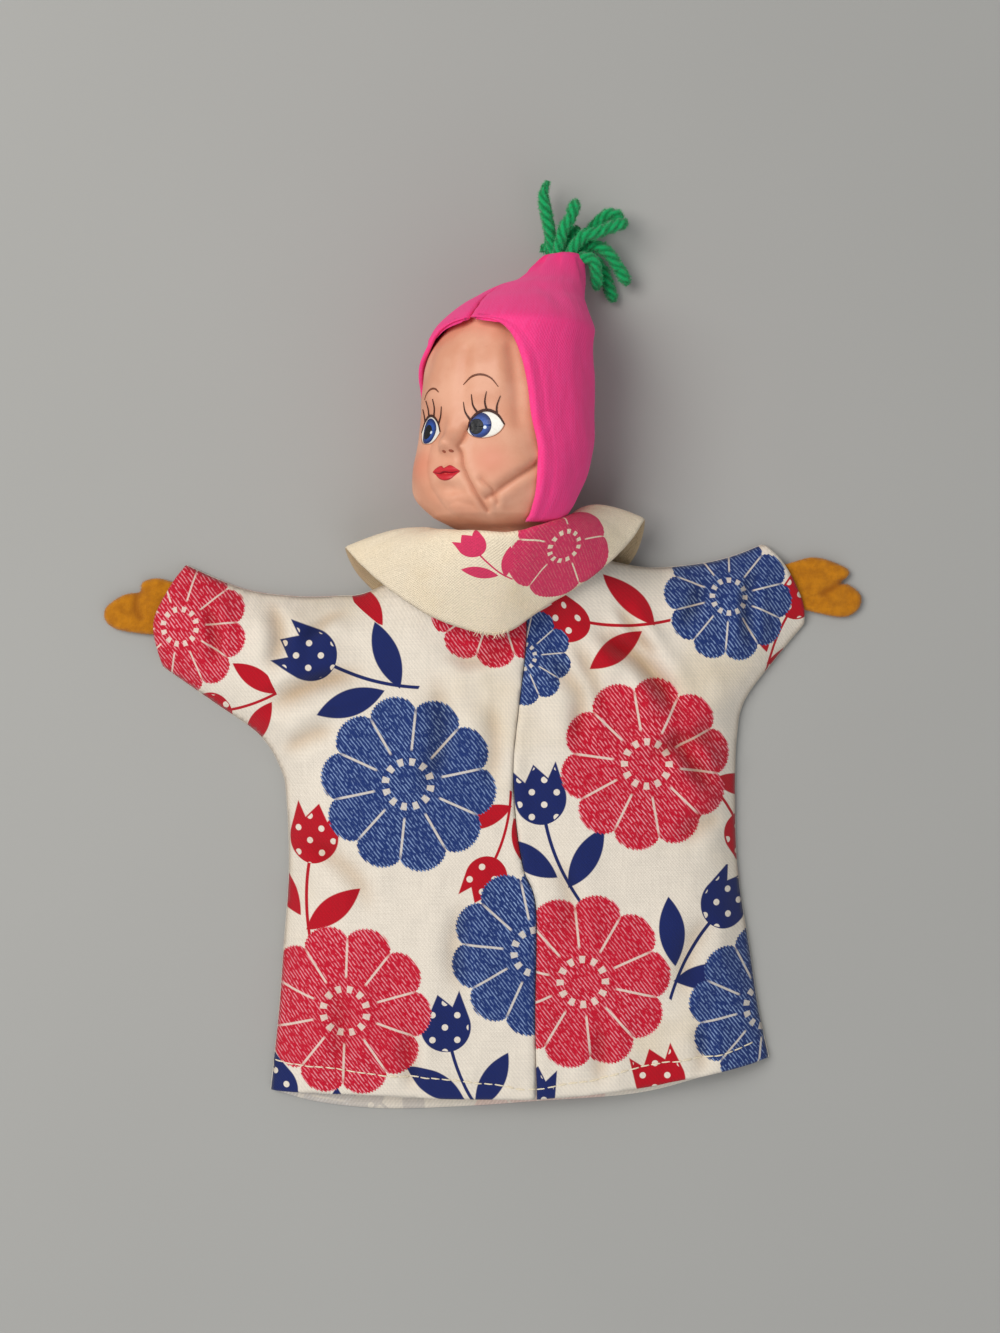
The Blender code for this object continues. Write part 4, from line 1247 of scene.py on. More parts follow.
    def turned(self, around: Array, radius: Array, height: Array, set_back: Array) -> Array:
        """Points for directions around, radii, heights and backward shifts."""
        world = around - self.turn
        nod = self.nod * np.maximum(height, self.neck_start)
        x = self.x + radius * np.sin(world) + set_back * math.sin(self.turn)
        z = self.centre_z() + radius * np.cos(world) - set_back * math.cos(self.turn) + nod
        y = np.broadcast_to(self.y + height, np.shape(x))
        return np.stack([x, y, z], axis=-1)

    def drawn_in(self, around: Array, height: Array) -> Array:
        """How far the jaw is pressed in under the hood's right side."""
        return 2.3 * np.exp(-(((around - 1.75) / 0.5) ** 2) - ((height + 17.0) / 8.0) ** 2)

    def skull_radius(self, around: Array, height: Array) -> Array:
        """Radius with the face's relief in each direction and height."""
        return self.section_radius(around, self.size_at(height)) + self.relief(around, height)

    def surface(self, around: Array, height: Array, offset: Array) -> Array:
        """Points an offset away from the head's surface."""
        slope = (self.skull_radius(around, height + 1.0) - self.skull_radius(around, height - 1.0)) / 2.0
        steep = np.minimum(np.hypot(1.0, slope), 2.4)
        return self.turned(
            around, self.skull_radius(around, height) + offset * steep, height, np.zeros(np.shape(height))
        )

    def neck_centre(self) -> tuple[float, float]:
        """The neck's middle, across and up."""
        none = np.zeros(1)
        points = self.turned(none, none, none + self.neck_start, none + self.neck_set_back)
        return float(points[0, 0]), float(points[0, 2])

    def around_steps(self) -> Array:
        """Directions for the mesh, closer together over the face."""
        face = np.radians(np.linspace(-self.mesh_front, self.mesh_front, 221))
        rest = np.radians(np.linspace(self.mesh_front, 360.0 - self.mesh_front, 92)[1:-1])
        return np.concatenate([face, rest])

    def rows(self) -> Array:
        """Height, sizes and set-back of each ring, from the crown to the neck's end."""
        crown = np.linspace(0.0, 1.0, 14)[1:] ** 1.6
        top = self.sections[0][0]
        below = np.linspace(top - 3.0, self.sections[-1][0], 132)[1:]
        heights = np.concatenate([top - 3.0 * crown, below])
        sizes = self.size_at(heights)
        skull = np.column_stack([heights, sizes, np.zeros(len(heights))])
        chin = skull[-1]
        end = self.neck_start - self.neck_length
        rings = [skull[-6], chin]
        for share, tight in self.neck_rings:
            shrunk = chin[1:4] + (self.neck_radius - chin[1:4]) * tight
            rings.append(np.array([chin[0] + (end - chin[0]) * share, *shrunk, self.neck_set_back * tight]))
        neck = curve_points(rings, np.linspace(1.0, len(rings) - 1.0, 33)[1:])
        return np.vstack([skull, neck])

    def build_shell(self, finish: MouldedSkin) -> None:
        """Make the moulded shell with its creases."""
        around = self.around_steps()
        rows = self.rows()
        grid_around, heights = np.meshgrid(around, rows[:, 0])
        sizes = np.repeat(rows[:, None, 1:4], len(around), axis=1)
        radius = self.section_radius(grid_around, sizes)
        fade = smoothstep(self.neck_start - 1.5, self.neck_start + 1.5, heights)
        front = np.cos(grid_around) > -0.6
        shape = np.where(front, self.relief(grid_around, heights), 0.0) * fade
        shape *= smoothstep(0.0, 9.0, radius)
        place = rows_of(grid_around * self.around_unit, heights, heights * 0.0)
        dimples = 0.22 * soft_noise(place, 6.0).reshape(radius.shape)
        painted = smoothstep(0.95, 0.75, np.abs(grid_around))
        painted = painted * smoothstep(-21.0, -18.0, heights) * smoothstep(15.0, 12.0, heights)
        dimples = dimples * smoothstep(4.0, 12.0, radius) * (1.0 - painted)
        radius = radius - self.drawn_in(grid_around, heights) + shape + dimples
        points = self.turned(grid_around, radius, heights, np.repeat(rows[:, 4:5], len(around), axis=1))
        count = points.shape[0] * points.shape[1]
        columns = len(around)
        top = self.sections[0][0]
        crown = self.turned(np.zeros(1), np.zeros(1), np.array([top]), np.zeros(1))
        outer = np.vstack([points.reshape(-1, 3), crown])
        grid = grid_faces(columns, len(rows), around=True)[:, ::-1]
        normals = vertex_normals(outer, grid)
        normals[-1] = (0.0, 1.0, 0.1)
        inner = outer - normals * self.wall
        behind = count + 1
        faces = grid.tolist() + (grid[:, ::-1] + behind).tolist()
        for index in range(columns):
            after = (index + 1) % columns
            low, low_after = count - columns + index, count - columns + after
            faces.append((index, after, count))
            faces.append((after + behind, index + behind, count + behind))
            faces.append((low_after, low, low + behind, low_after + behind))
        place = np.vstack([place, [[0.0, top, 0.0]]])
        crease = np.append((self.creases(grid_around, heights) * fade).ravel(), 0.0)
        values = {"face": np.vstack([place, place]), "crease": np.concatenate([crease, np.zeros(behind)])}
        surface = Surface(np.vstack([outer, inner]), faces, values)
        make_piece("painted_head", surface, finish.build(), ["head_shell"])


# Painted face


@dataclass
class FacePaint:
    """Eyes, lashes, brows and mouth laid on the head as thin films of paint."""

    head: Head
    probe: float = 0.25
    clear: float = 0.04
    sunk: float = 0.2
    eye_right: tuple[Point, ...] = (
        (4.5, -3.9), (6.4, -0.6), (9.0, 1.15), (11.9, 1.3), (14.4, -0.1), (16.2, -2.7)
    )
    eye_right_low: tuple[Point, ...] = (
        (4.5, -3.9), (6.6, -5.6), (9.6, -6.3), (12.8, -5.9), (14.9, -4.6), (16.2, -2.7)
    )
    eye_left: tuple[Point, ...] = (
        (-5.2, -3.9), (-7.0, -0.9), (-9.4, 1.0), (-12.0, 1.1), (-14.6, -0.4), (-16.4, -3.0)
    )
    eye_left_low: tuple[Point, ...] = (
        (-5.2, -3.9), (-7.2, -5.9), (-9.8, -6.7), (-12.8, -6.4), (-15.0, -5.0), (-16.4, -3.0)
    )
    lashes_right: tuple[tuple[Point, ...], ...] = (
        ((5.8, -1.0), (4.1, 1.3), (3.2, 4.2)), ((8.2, 0.8), (6.7, 3.0), (6.4, 6.0)),
        ((11.0, 1.4), (10.4, 3.8), (11.0, 6.6)), ((13.9, 0.6), (14.0, 2.8), (15.0, 5.4)),
    )
    lashes_left: tuple[tuple[Point, ...], ...] = (
        ((-6.6, -1.4), (-5.2, 0.8), (-4.6, 3.4)), ((-9.0, 0.8), (-8.1, 3.2), (-8.2, 5.8)),
        ((-11.8, 1.2), (-11.8, 3.4), (-12.6, 5.8)), ((-14.4, -0.2), (-15.2, 2.0), (-16.4, 3.8)),
    )

    def lay(self, places: Array, lift: float) -> Array:
        """Points on the head for flat places (around, up) at a lift above it."""
        across, height = places[..., 0].ravel(), places[..., 1].ravel()
        unit, none = self.head.around_unit, np.zeros(across.size)
        points = self.head.surface(across / unit, height, none)
        to_right = self.head.surface((across + self.probe) / unit, height, none) - points
        to_up = self.head.surface(across / unit, height + self.probe, none) - points
        normal = np.cross(to_right, to_up)
        normal /= np.linalg.norm(normal, axis=1)[:, None]
        return points + normal * (lift + self.clear)

    def film(self, places: Array, lift: float, rim: Array) -> Surface:
        """Shape one film from a grid of flat places.

        Args:
            places: Grid of places, rows by columns by two.
            lift: Height of its top above the head.
            rim: How near each place is to the film's rim, 0 to 1.

        Returns:
            The film, sunk a little into the head.
        """
        rows, columns = places.shape[:2]
        faces = grid_faces(columns, rows)
        points = self.lay(places, lift)
        normals = vertex_normals(points, faces)
        centre = points.mean(axis=0)
        axis = np.array([self.head.x, centre[1], self.head.centre_z()])
        if float(np.sum(normals @ (centre - axis))) < 0.0:
            faces = faces[:, ::-1]
        thick = np.full(len(points), self.sunk + lift)
        return sheet_solid(points, faces, thick, {"rim": rim.ravel()}, 0.0)

    def patch(
        self, name: str, upper: Sequence[Point], lower: Sequence[Point], lift: float, finish: Paint
    ) -> None:
        """Fill the space between two curves that share their ends."""
        share = np.linspace(0.0, 1.0, 41)
        top = curve_points(upper, share * (len(upper) - 1))
        low = curve_points(lower, share * (len(lower) - 1))
        up = np.linspace(0.0, 1.0, 21)[:, None, None]
        places = low[None] * (1.0 - up) + top[None] * up
        rim = np.maximum(np.abs(2.0 * up[..., 0] - 1.0), np.abs(2.0 * share - 1.0)[None]) ** 3
        make_piece(name, self.film(places, lift, rim), finish.build())

    def disc(
        self, name: str, centre: Point, radii: Point, lift: float, finish: Paint,
        keep: Callable | None = None
    ) -> None:
        """Lay a round spot, cut off where an eyelid covers it."""
        angle = np.linspace(0.0, 2.0 * np.pi, 49)
        reach = np.linspace(0.02, 1.0, 13)
        ring = np.stack([np.cos(angle) * radii[0], np.sin(angle) * radii[1]], axis=-1)
        places = np.array(centre)[None, None] + reach[:, None, None] * ring[None]
        if keep is not None:
            places = keep(places)
        rim = np.repeat(reach[:, None], len(angle), axis=1)
        make_piece(name, self.film(places, lift, rim), finish.build())

    def stroke(self, name: str, lines: Sequence[tuple], lift: float, finish: Paint) -> None:
        """Lay brush strokes, each a curve with a width at its start, middle and end."""
        share = np.linspace(0.0, 1.0, 25)
        offsets = np.linspace(-1.0, 1.0, 5)
        films = []
        for points, widths in lines:
            middle = curve_points(points, share * (len(points) - 1))
            tangent = np.gradient(middle, axis=0)
            tangent /= np.linalg.norm(tangent, axis=1)[:, None]
            side = np.stack([-tangent[:, 1], tangent[:, 0]], axis=1)
            half = 0.5 * np.interp(share, np.linspace(0.0, 1.0, len(widths)), widths)
            places = middle[None] + offsets[:, None, None] * half[None, :, None] * side[None]
            films.append(self.film(places, lift, np.zeros(places.shape[:2])))
        make_piece(name, reduce(Surface.joined, films), finish.build())

    def under_lid(self, upper: Sequence[Point], lower: Sequence[Point]) -> Callable:
        """Rule that keeps a spot between an eye's two lids."""
        top = smooth_line(upper, 12)
        low = smooth_line(lower, 12)
        if top[0, 0] > top[-1, 0]:
            top, low = top[::-1], low[::-1]

        def keep(places: Array) -> Array:
            """Press the places between the lids."""
            result = places.copy()
            result[..., 0] = np.clip(places[..., 0], top[0, 0] + 0.2, top[-1, 0] - 0.2)
            high = np.interp(result[..., 0], top[:, 0], top[:, 1])
            deep = np.interp(result[..., 0], low[:, 0], low[:, 1])
            result[..., 1] = np.clip(result[..., 1], deep + 0.05, high - 0.05)
            return result

        return keep

    def build(self) -> None:
        """Paint the whole face."""
        white = Paint("eye_white", linear(240, 236, 226), linear(206, 190, 176), 0.3)
        blue = Paint("eye_blue", linear(40, 82, 166), linear(16, 34, 92), 0.32)
        black = Paint("eye_black", linear(8, 9, 14), linear(4, 4, 8), 0.4)
        shine = Paint("eye_shine", linear(226, 234, 240), linear(200, 212, 226), 0.3)
        brown = Paint("lash_brown", linear(66, 30, 20), linear(46, 20, 12), 0.5)
        faint = Paint("lower_lid_brown", linear(176, 124, 98), linear(160, 108, 84), 0.5)
        brow = Paint("brow_brown", linear(112, 62, 40), linear(92, 46, 28), 0.45)
        coral = Paint("mouth_coral", linear(206, 40, 52), linear(176, 24, 40), 0.34)
        shade = Paint("mouth_shade", linear(140, 20, 32), linear(120, 14, 26), 0.4)
        nostril = Paint("nostril_shade", linear(168, 92, 68), linear(150, 78, 56), 0.5)
        self.patch("eye_white_right", self.eye_right, self.eye_right_low, 0.05, white)
        self.patch("eye_white_left", self.eye_left, self.eye_left_low, 0.05, white)
        right = self.under_lid(self.eye_right, self.eye_right_low)
        left = self.under_lid(self.eye_left, self.eye_left_low)
        for spot in (
            ("iris_right", (8.9, -2.6), (3.5, 3.6), 0.10, blue, right),
            ("iris_left", (-11.2, -2.9), (3.5, 3.6), 0.10, blue, left),
            ("pupil_right", (7.8, -2.9), (2.1, 2.2), 0.15, black, right),
            ("pupil_left", (-12.1, -3.1), (2.0, 2.1), 0.15, black, left),
            ("eye_shine_right", (10.4, -3.2), (0.55, 0.5), 0.20, shine),
            ("eye_shine_left", (-10.2, -3.4), (0.5, 0.45), 0.20, shine),
        ):
            self.disc(*spot)
        lids = ((self.eye_right, (0.35, 0.75, 0.8, 0.4)), (self.eye_left, (0.3, 0.65, 0.7, 0.4)))
        upper = [([(x, y + 0.15) for x, y in lid], widths) for lid, widths in lids]
        self.stroke("eyelid_lines", upper, 0.22, brown)
        lower = [(lid, (0.25, 0.18, 0.18, 0.25)) for lid in (self.eye_right_low, self.eye_left_low)]
        self.stroke("lower_lid_lines", lower, 0.18, faint)
        lashes = [(lash, (0.65, 0.42, 0.12)) for lash in self.lashes_right]
        lashes += [(lash, (0.6, 0.4, 0.12)) for lash in self.lashes_left]
        self.stroke("eyelashes", lashes, 0.22, brown)
        right_brow = ((3.2, 8.9), (6.0, 10.9), (9.2, 11.4), (12.2, 10.3), (14.4, 7.8))
        left_brow = ((-5.4, 7.4), (-7.2, 8.5), (-9.6, 8.7), (-12.0, 7.8), (-13.8, 6.2))
        brows = [(right_brow, (0.2, 0.55, 0.6, 0.45, 0.15)), (left_brow, (0.2, 0.5, 0.55, 0.4, 0.15))]
        self.stroke("eyebrows", brows, 0.12, brow)
        lip_top = (
            (-6.2, -15.0), (-4.7, -14.1), (-2.9, -13.5), (-1.4, -14.2), (0.1, -13.5), (1.9, -14.1),
            (3.4, -15.2)
        )
        lip_low = (
            (-6.2, -15.0), (-4.7, -16.3), (-3.1, -17.2), (-1.3, -17.6), (0.5, -17.3), (2.0, -16.3),
            (3.4, -15.2)
        )
        self.patch("mouth", lip_top, lip_low, 0.08, coral)
        parting = ((-5.5, -15.1), (-3.5, -15.4), (-1.4, -15.1), (0.7, -15.4), (2.8, -15.2))
        self.stroke("mouth_parting", [(parting, (0.1, 0.24, 0.26, 0.24, 0.1))], 0.14, shade)
        for name, across in (("nostril_right", 1.25), ("nostril_left", -1.25)):
            self.disc(name, (across, -9.6), (0.62, 0.36), 0.04, nostril)


# Hood and yarn


@dataclass
class Hood:
    """Two flannel halves over the head, gathered to a point around the yarn."""

    head: Head
    thickness: float = 1.2
    bottom: float = -29.2
    side_bottom: float = -25.6
    left_bottom: float = -24.0
    peak: float = 27.8
    edge_right: tuple[Point, ...] = (
        (-27.0, 57.5), (-15.0, 57.0), (-8.0, 57.5), (0.0, 54.0), (11.0, 50.7), (18.4, 46.0), (23.6, 36.0),
        (26.4, 22.0), (27.6, 8.0), (27.8, 0.0),
    )
    edge_left: tuple[Point, ...] = (
        (-27.0, 80.0), (-8.0, 80.0), (2.0, 77.0), (9.5, 69.0), (14.0, 58.0), (19.3, 43.0), (24.0, 29.0),
        (26.6, 15.0), (27.8, 0.0),
    )
    sections: tuple[Point, ...] = (
        (24.0, 2.0, 1.0, 23.6, 25.0), (28.5, 3.6, 0.2, 22.2, 24.2), (34.7, 6.6, -5.4, 19.6, 21.0),
        (38.2, 8.7, -9.0, 17.2, 17.6), (41.6, 11.1, -12.0, 14.4, 14.6), (44.6, 14.6, -15.0, 10.6, 11.4),
        (48.3, 16.6, -17.4, 8.4, 8.8), (51.7, 18.2, -18.9, 6.6, 7.0), (53.2, 18.8, -19.2, 5.6, 6.0),
        (53.9, 19.0, -19.3, 3.4, 3.6),
    )
    seam_swing: float = math.radians(34.0)
    cloth_unit: float = 24.0
    far: float = 50.0
    half_seam: float = 0.12
    fold_start: float = -15.0

    def gathers(self, around: Array, height: Array) -> Array:
        """Waves of the gathered tip round the hood, -1 to 1."""
        return np.sin(around * 9.0 + height * 0.35)

    def cone(self, around: Array, height: Array) -> Array:
        """Points on the hood's free upper part."""
        rows = np.array(self.sections)
        fine = curve_points(rows, np.linspace(0.0, len(rows) - 1.0, 400))
        sizes = [
            np.interp(np.maximum(height, rows[0, 0]), fine[:, 0], fine[:, axis]) for axis in (1, 2, 3, 4)
        ]
        angle = around - self.head.turn
        x = self.head.x + sizes[0] + sizes[2] * np.sin(angle)
        z = self.head.centre_z() + sizes[1] + sizes[3] * np.cos(angle)
        return np.stack([x, self.head.y + height, z], axis=-1)

    def place(self, around: Array, height: Array, from_seam: Array, from_edge: Array) -> Array:
        """Points on the hood's outer face.

        Args:
            around: Directions from the nose.
            height: Heights above the head's centre.
            from_seam: Distance from the middle seam in millimetres.
            from_edge: Distance from the front edge in millimetres.

        Returns:
            The points.
        """
        calm = self.head.section_radius(around, self.head.size_at(height))
        calm -= 3.6 * smoothstep(-26.0, -29.5, height) + self.head.drawn_in(around, height)
        slope = np.gradient(calm, axis=0) / np.maximum(np.abs(np.gradient(height, axis=0)), 1e-6)
        steep = np.minimum(np.hypot(1.0, slope), 1.9)
        sideways = bell(np.abs(around) - 2.2, 0.8) * (around > 0.0)
        reach = np.where(height < 21.5, 14.0, 9.0)
        fuller = sideways * (2.2 * bell(height - 21.5, reach) - 1.5 * bell(height - 37.5, 7.5))
        radius = calm + 1.9 * steep
        over = self.head.turned(around, radius, height, np.zeros(height.shape))
        share = smoothstep(16.0, 28.0, height)[..., None]
        swing = self.seam_swing * smoothstep(self.peak, self.sections[-1][0], height)
        free = self.cone(around - swing, height)
        points = over * (1.0 - share) + free * share
        outward = points - np.array([self.head.x, 0.0, self.head.centre_z()])
        outward[..., 1] = 0.0
        outward /= np.maximum(np.linalg.norm(outward, axis=-1), 1e-6)[..., None]
        flat = flat_rows(around * self.cloth_unit, height * 0.45)
        folds = soft_noise(flat, 9.0, 3.0).reshape(height.shape) * 0.30
        fine = soft_noise(flat, 3.5, 9.0).reshape(height.shape) * 0.10
        seam_dip = -0.75 * bell(from_seam, 0.9) + 0.25 * bell(from_seam - 2.2, 1.1)
        pucker = 0.16 * np.sin(height * 1.9) * bell(from_seam, 3.2)
        roll = 0.35 * bell(from_edge - 1.6, 1.2) - 0.45 * bell(from_edge, 0.7)
        hem_line = -0.12 * bell(from_edge - 4.4, 0.5)
        gathered = 0.75 * smoothstep(40.0, 53.0, height) * self.gathers(around, height)
        gathered = gathered * smoothstep(self.sections[-1][0], 50.0, height)
        creases = -0.7 * bell(np.degrees(around) - 70.0 + (height - 34.0) * 2.4, 9.0)
        creases = creases * smoothstep(28.0, 40.0, height) * smoothstep(52.0, 46.0, height)
        total = folds + fine + seam_dip + pucker + roll + hem_line + gathered + creases + fuller
        return points + outward * total[..., None]

    def build_half(
        self, name: str, side: float, edge_rows: Sequence[Point], node: str, finish: Finish
    ) -> None:
        """Make one half.

        Args:
            name: The piece's name.
            side: 1 for the right half, -1 for the left.
            edge_rows: Front edge: height and degrees from the nose.
            node: CAD node that it stands for.
            finish: Its cloth.
        """
        top = self.sections[-1][0]
        heights = np.concatenate([np.linspace(self.bottom, 50.0, 150), np.linspace(50.0, top, 14)[1:]])
        edge = np.array(smooth_line(edge_rows, 8))
        edge = edge[np.argsort(edge[:, 0])]
        front = np.radians(np.where(heights < self.peak, np.interp(heights, edge[:, 0], edge[:, 1]), 0.0))
        half_width = np.interp(heights, [row[0] for row in self.sections], [row[3] for row in self.sections])
        seam = self.half_seam / np.maximum(half_width, 3.0)
        front = np.maximum(front, seam)
        share = np.linspace(0.0, 1.0, 110)
        around = front[:, None] + (math.pi - seam - front)[:, None] * share[None]
        height = np.repeat(heights[:, None], len(share), axis=1)
        lowest = self.bottom + (self.side_bottom - self.bottom) * smoothstep(1.5, 1.95, around)
        lowest = lowest if side > 0.0 else np.full(around.shape, self.left_bottom)
        shortened = (height - self.fold_start) * (lowest - self.fold_start) / (self.bottom - self.fold_start)
        height = np.where(height < self.fold_start, self.fold_start + shortened, height)
        from_edge = np.where(height < self.peak, (around - front[:, None]) * self.cloth_unit, self.far)
        reach = half_width[:, None]
        in_front = np.where(height >= self.peak, around * reach, self.far)
        from_seam = np.minimum(in_front, (math.pi - around) * reach)
        points = self.place(side * around, height, from_seam, from_edge)
        faces = grid_faces(len(share), len(heights))
        flat = points.reshape(-1, 3)
        if float(np.sum(vertex_normals(flat, faces) @ np.array([side, 0.0, 0.3]))) < 0.0:
            faces = faces[:, ::-1]
        # Painted shade for the flannel: darker in the gathers' hollows at the tip and along the middle seam.
        tip = np.exp(-((top - height) / 5.0)) * (0.5 + 0.5 * self.gathers(around, height))
        shade = np.clip(0.8 * tip + 0.8 * bell(from_seam, 0.6), 0.0, 1.0)
        values = {"cloth": flat_rows(side * around * self.cloth_unit, height), "fold": shade.ravel()}
        surface = sheet_solid(flat, faces, np.full(len(flat), self.thickness), values)
        piece = make_piece(name, surface, finish, [node])

    def build(self, finish: Flannel) -> None:
        """Make both halves."""
        cloth = finish.build()
        self.build_half("hood_cloth_right", 1.0, self.edge_right, "hood_right", cloth)
        self.build_half("hood_cloth_left", -1.0, self.edge_left, "hood_left", cloth)


@dataclass
class YarnTuft:
    """Ends of plied yarn that spread from the hood's tip, with loose fibres all round."""

    radius: float = 1.7
    plies: int = 4
    twist: float = 2.1
    core: float = 1.75
    fibres_per_mm: float = 80.0
    taper: float = 2.0
    long_taper: float = 6.5
    fibre_shape: tuple[Point, ...] = ((0.0, 1.0), (0.4, 0.85), (0.75, 0.6), (1.0, 0.1))
    # Painted shade along each fibre, darkest at its root.
    fibre_shade: Point = (0.75, 0.45, 0.1, 0.0)
    routes: tuple[tuple[Point, ...], ...] = (
        (
            (21.4, 115.6, 8.2), (20.6, 121.5, 9.5), (19.6, 127.0, 10.5), (18.4, 133.0, 11.0),
            (19.6, 138.3, 11.5)
        ),
        ((22.6, 115.6, 11.6), (24.0, 122.4, 13.2), (26.6, 127.4, 13.6), (28.4, 132.2, 13.6)),
        ((25.6, 115.6, 5.4), (30.6, 122.0, 5.2), (34.6, 126.6, 6.8), (38.4, 129.2, 8.0), (42.4, 128.0, 8.0)),
        (
            (25.8, 115.6, 11.8), (29.8, 121.0, 13.4), (34.5, 122.4, 13.6), (39.4, 124.4, 13.0),
            (43.6, 126.0, 12.0)
        ),
        ((27.2, 115.6, 8.4), (32.4, 119.4, 8.8), (36.8, 118.2, 8.8), (40.6, 113.8, 7.4), (44.0, 108.2, 5.4)),
        ((28.6, 115.8, 5.2), (33.4, 116.4, 4.8), (36.6, 112.4, 4.2), (40.0, 103.6, 2.8)),
        ((28.8, 115.6, 11.6), (33.2, 114.4, 12.2), (34.2, 110.6, 10.6), (34.6, 106.2, 8.2)),
        ((22.8, 115.6, 5.2), (20.2, 119.4, 4.8), (17.4, 119.2, 4.0)),
        ((24.8, 115.6, 8.6), (26.4, 121.6, 8.8), (29.0, 125.0, 9.2)),
    )

    def fibres(self, line: Array, radius: Array, seed: int) -> Surface:
        """Loose fibres that stand off one yarn end.

        Args:
            line: The yarn's middle line.
            radius: Its radius at each point.
            seed: Seed for their places.

        Returns:
            The fibres as thin blades.
        """
        dice = random.Random(seed)
        points, faces = [], []
        length = len(line) - 1
        count = int(self.fibres_per_mm * line_length(line))
        for _ in range(count):
            spot = dice.uniform(0.04, 1.0) * length
            index = min(int(spot), length - 1)
            middle = Vector(line[index]).lerp(Vector(line[index + 1]), spot - index)
            along = (Vector(line[index + 1]) - Vector(line[index])).normalized()
            side = along.orthogonal().normalized()
            side.rotate(Matrix.Rotation(dice.uniform(0.0, 2.0 * math.pi), 3, along))
            root = middle + side * float(radius[index]) * 0.85
            lean = dice.uniform(-0.5, 0.9)
            heading = (side + along * lean).normalized()
            bend = Vector([dice.uniform(-0.5, 0.5) for _ in range(3)])
            reach = dice.uniform(0.4, 0.95)
            half = heading.orthogonal().normalized() * dice.uniform(0.05, 0.09)
            half.rotate(Matrix.Rotation(dice.uniform(0.0, math.pi), 3, heading))
            faces += blade_faces(len(points), len(self.fibre_shape))
            points += blade(root, heading * reach, bend * reach * 0.6, half, self.fibre_shape, 0.15)
        shade = np.tile(np.repeat(self.fibre_shade, 2), count)
        return Surface(np.array([tuple(point) for point in points]), faces, {"groove": shade})

    def build(self, finish: Yarn) -> None:
        """Make each yarn end."""
        wool = finish.build()
        for number, route in enumerate(self.routes, start=1):
            line = even_line(smooth_line(route, 12), 0.17)
            wobble = np.stack([soft_noise(line, 4.0, 5.0 * number + axis) for axis in range(3)], axis=1)
            line = line + wobble * 0.18
            line[:, 2] = np.maximum(line[:, 2], self.radius + 0.2)
            to_end = np.linspace(line_length(line), 0.0, len(line))
            taper = self.long_taper if number == 1 else self.taper
            narrow = np.clip(to_end / taper, 0.04, 1.0) ** 0.55
            radius = self.core * narrow * (1.0 + 0.09 * soft_noise(line, 1.1, 7.0 * number))
            surface = tube(line, radius, 28, lobes=self.plies, twist=self.twist, depth=0.12)
            fuzz = self.fibres(line, radius, 40 + number)
            make_piece(f"yarn_end_{number}", surface.joined(fuzz), wool, [f"yarn_{number}"])


# Glove


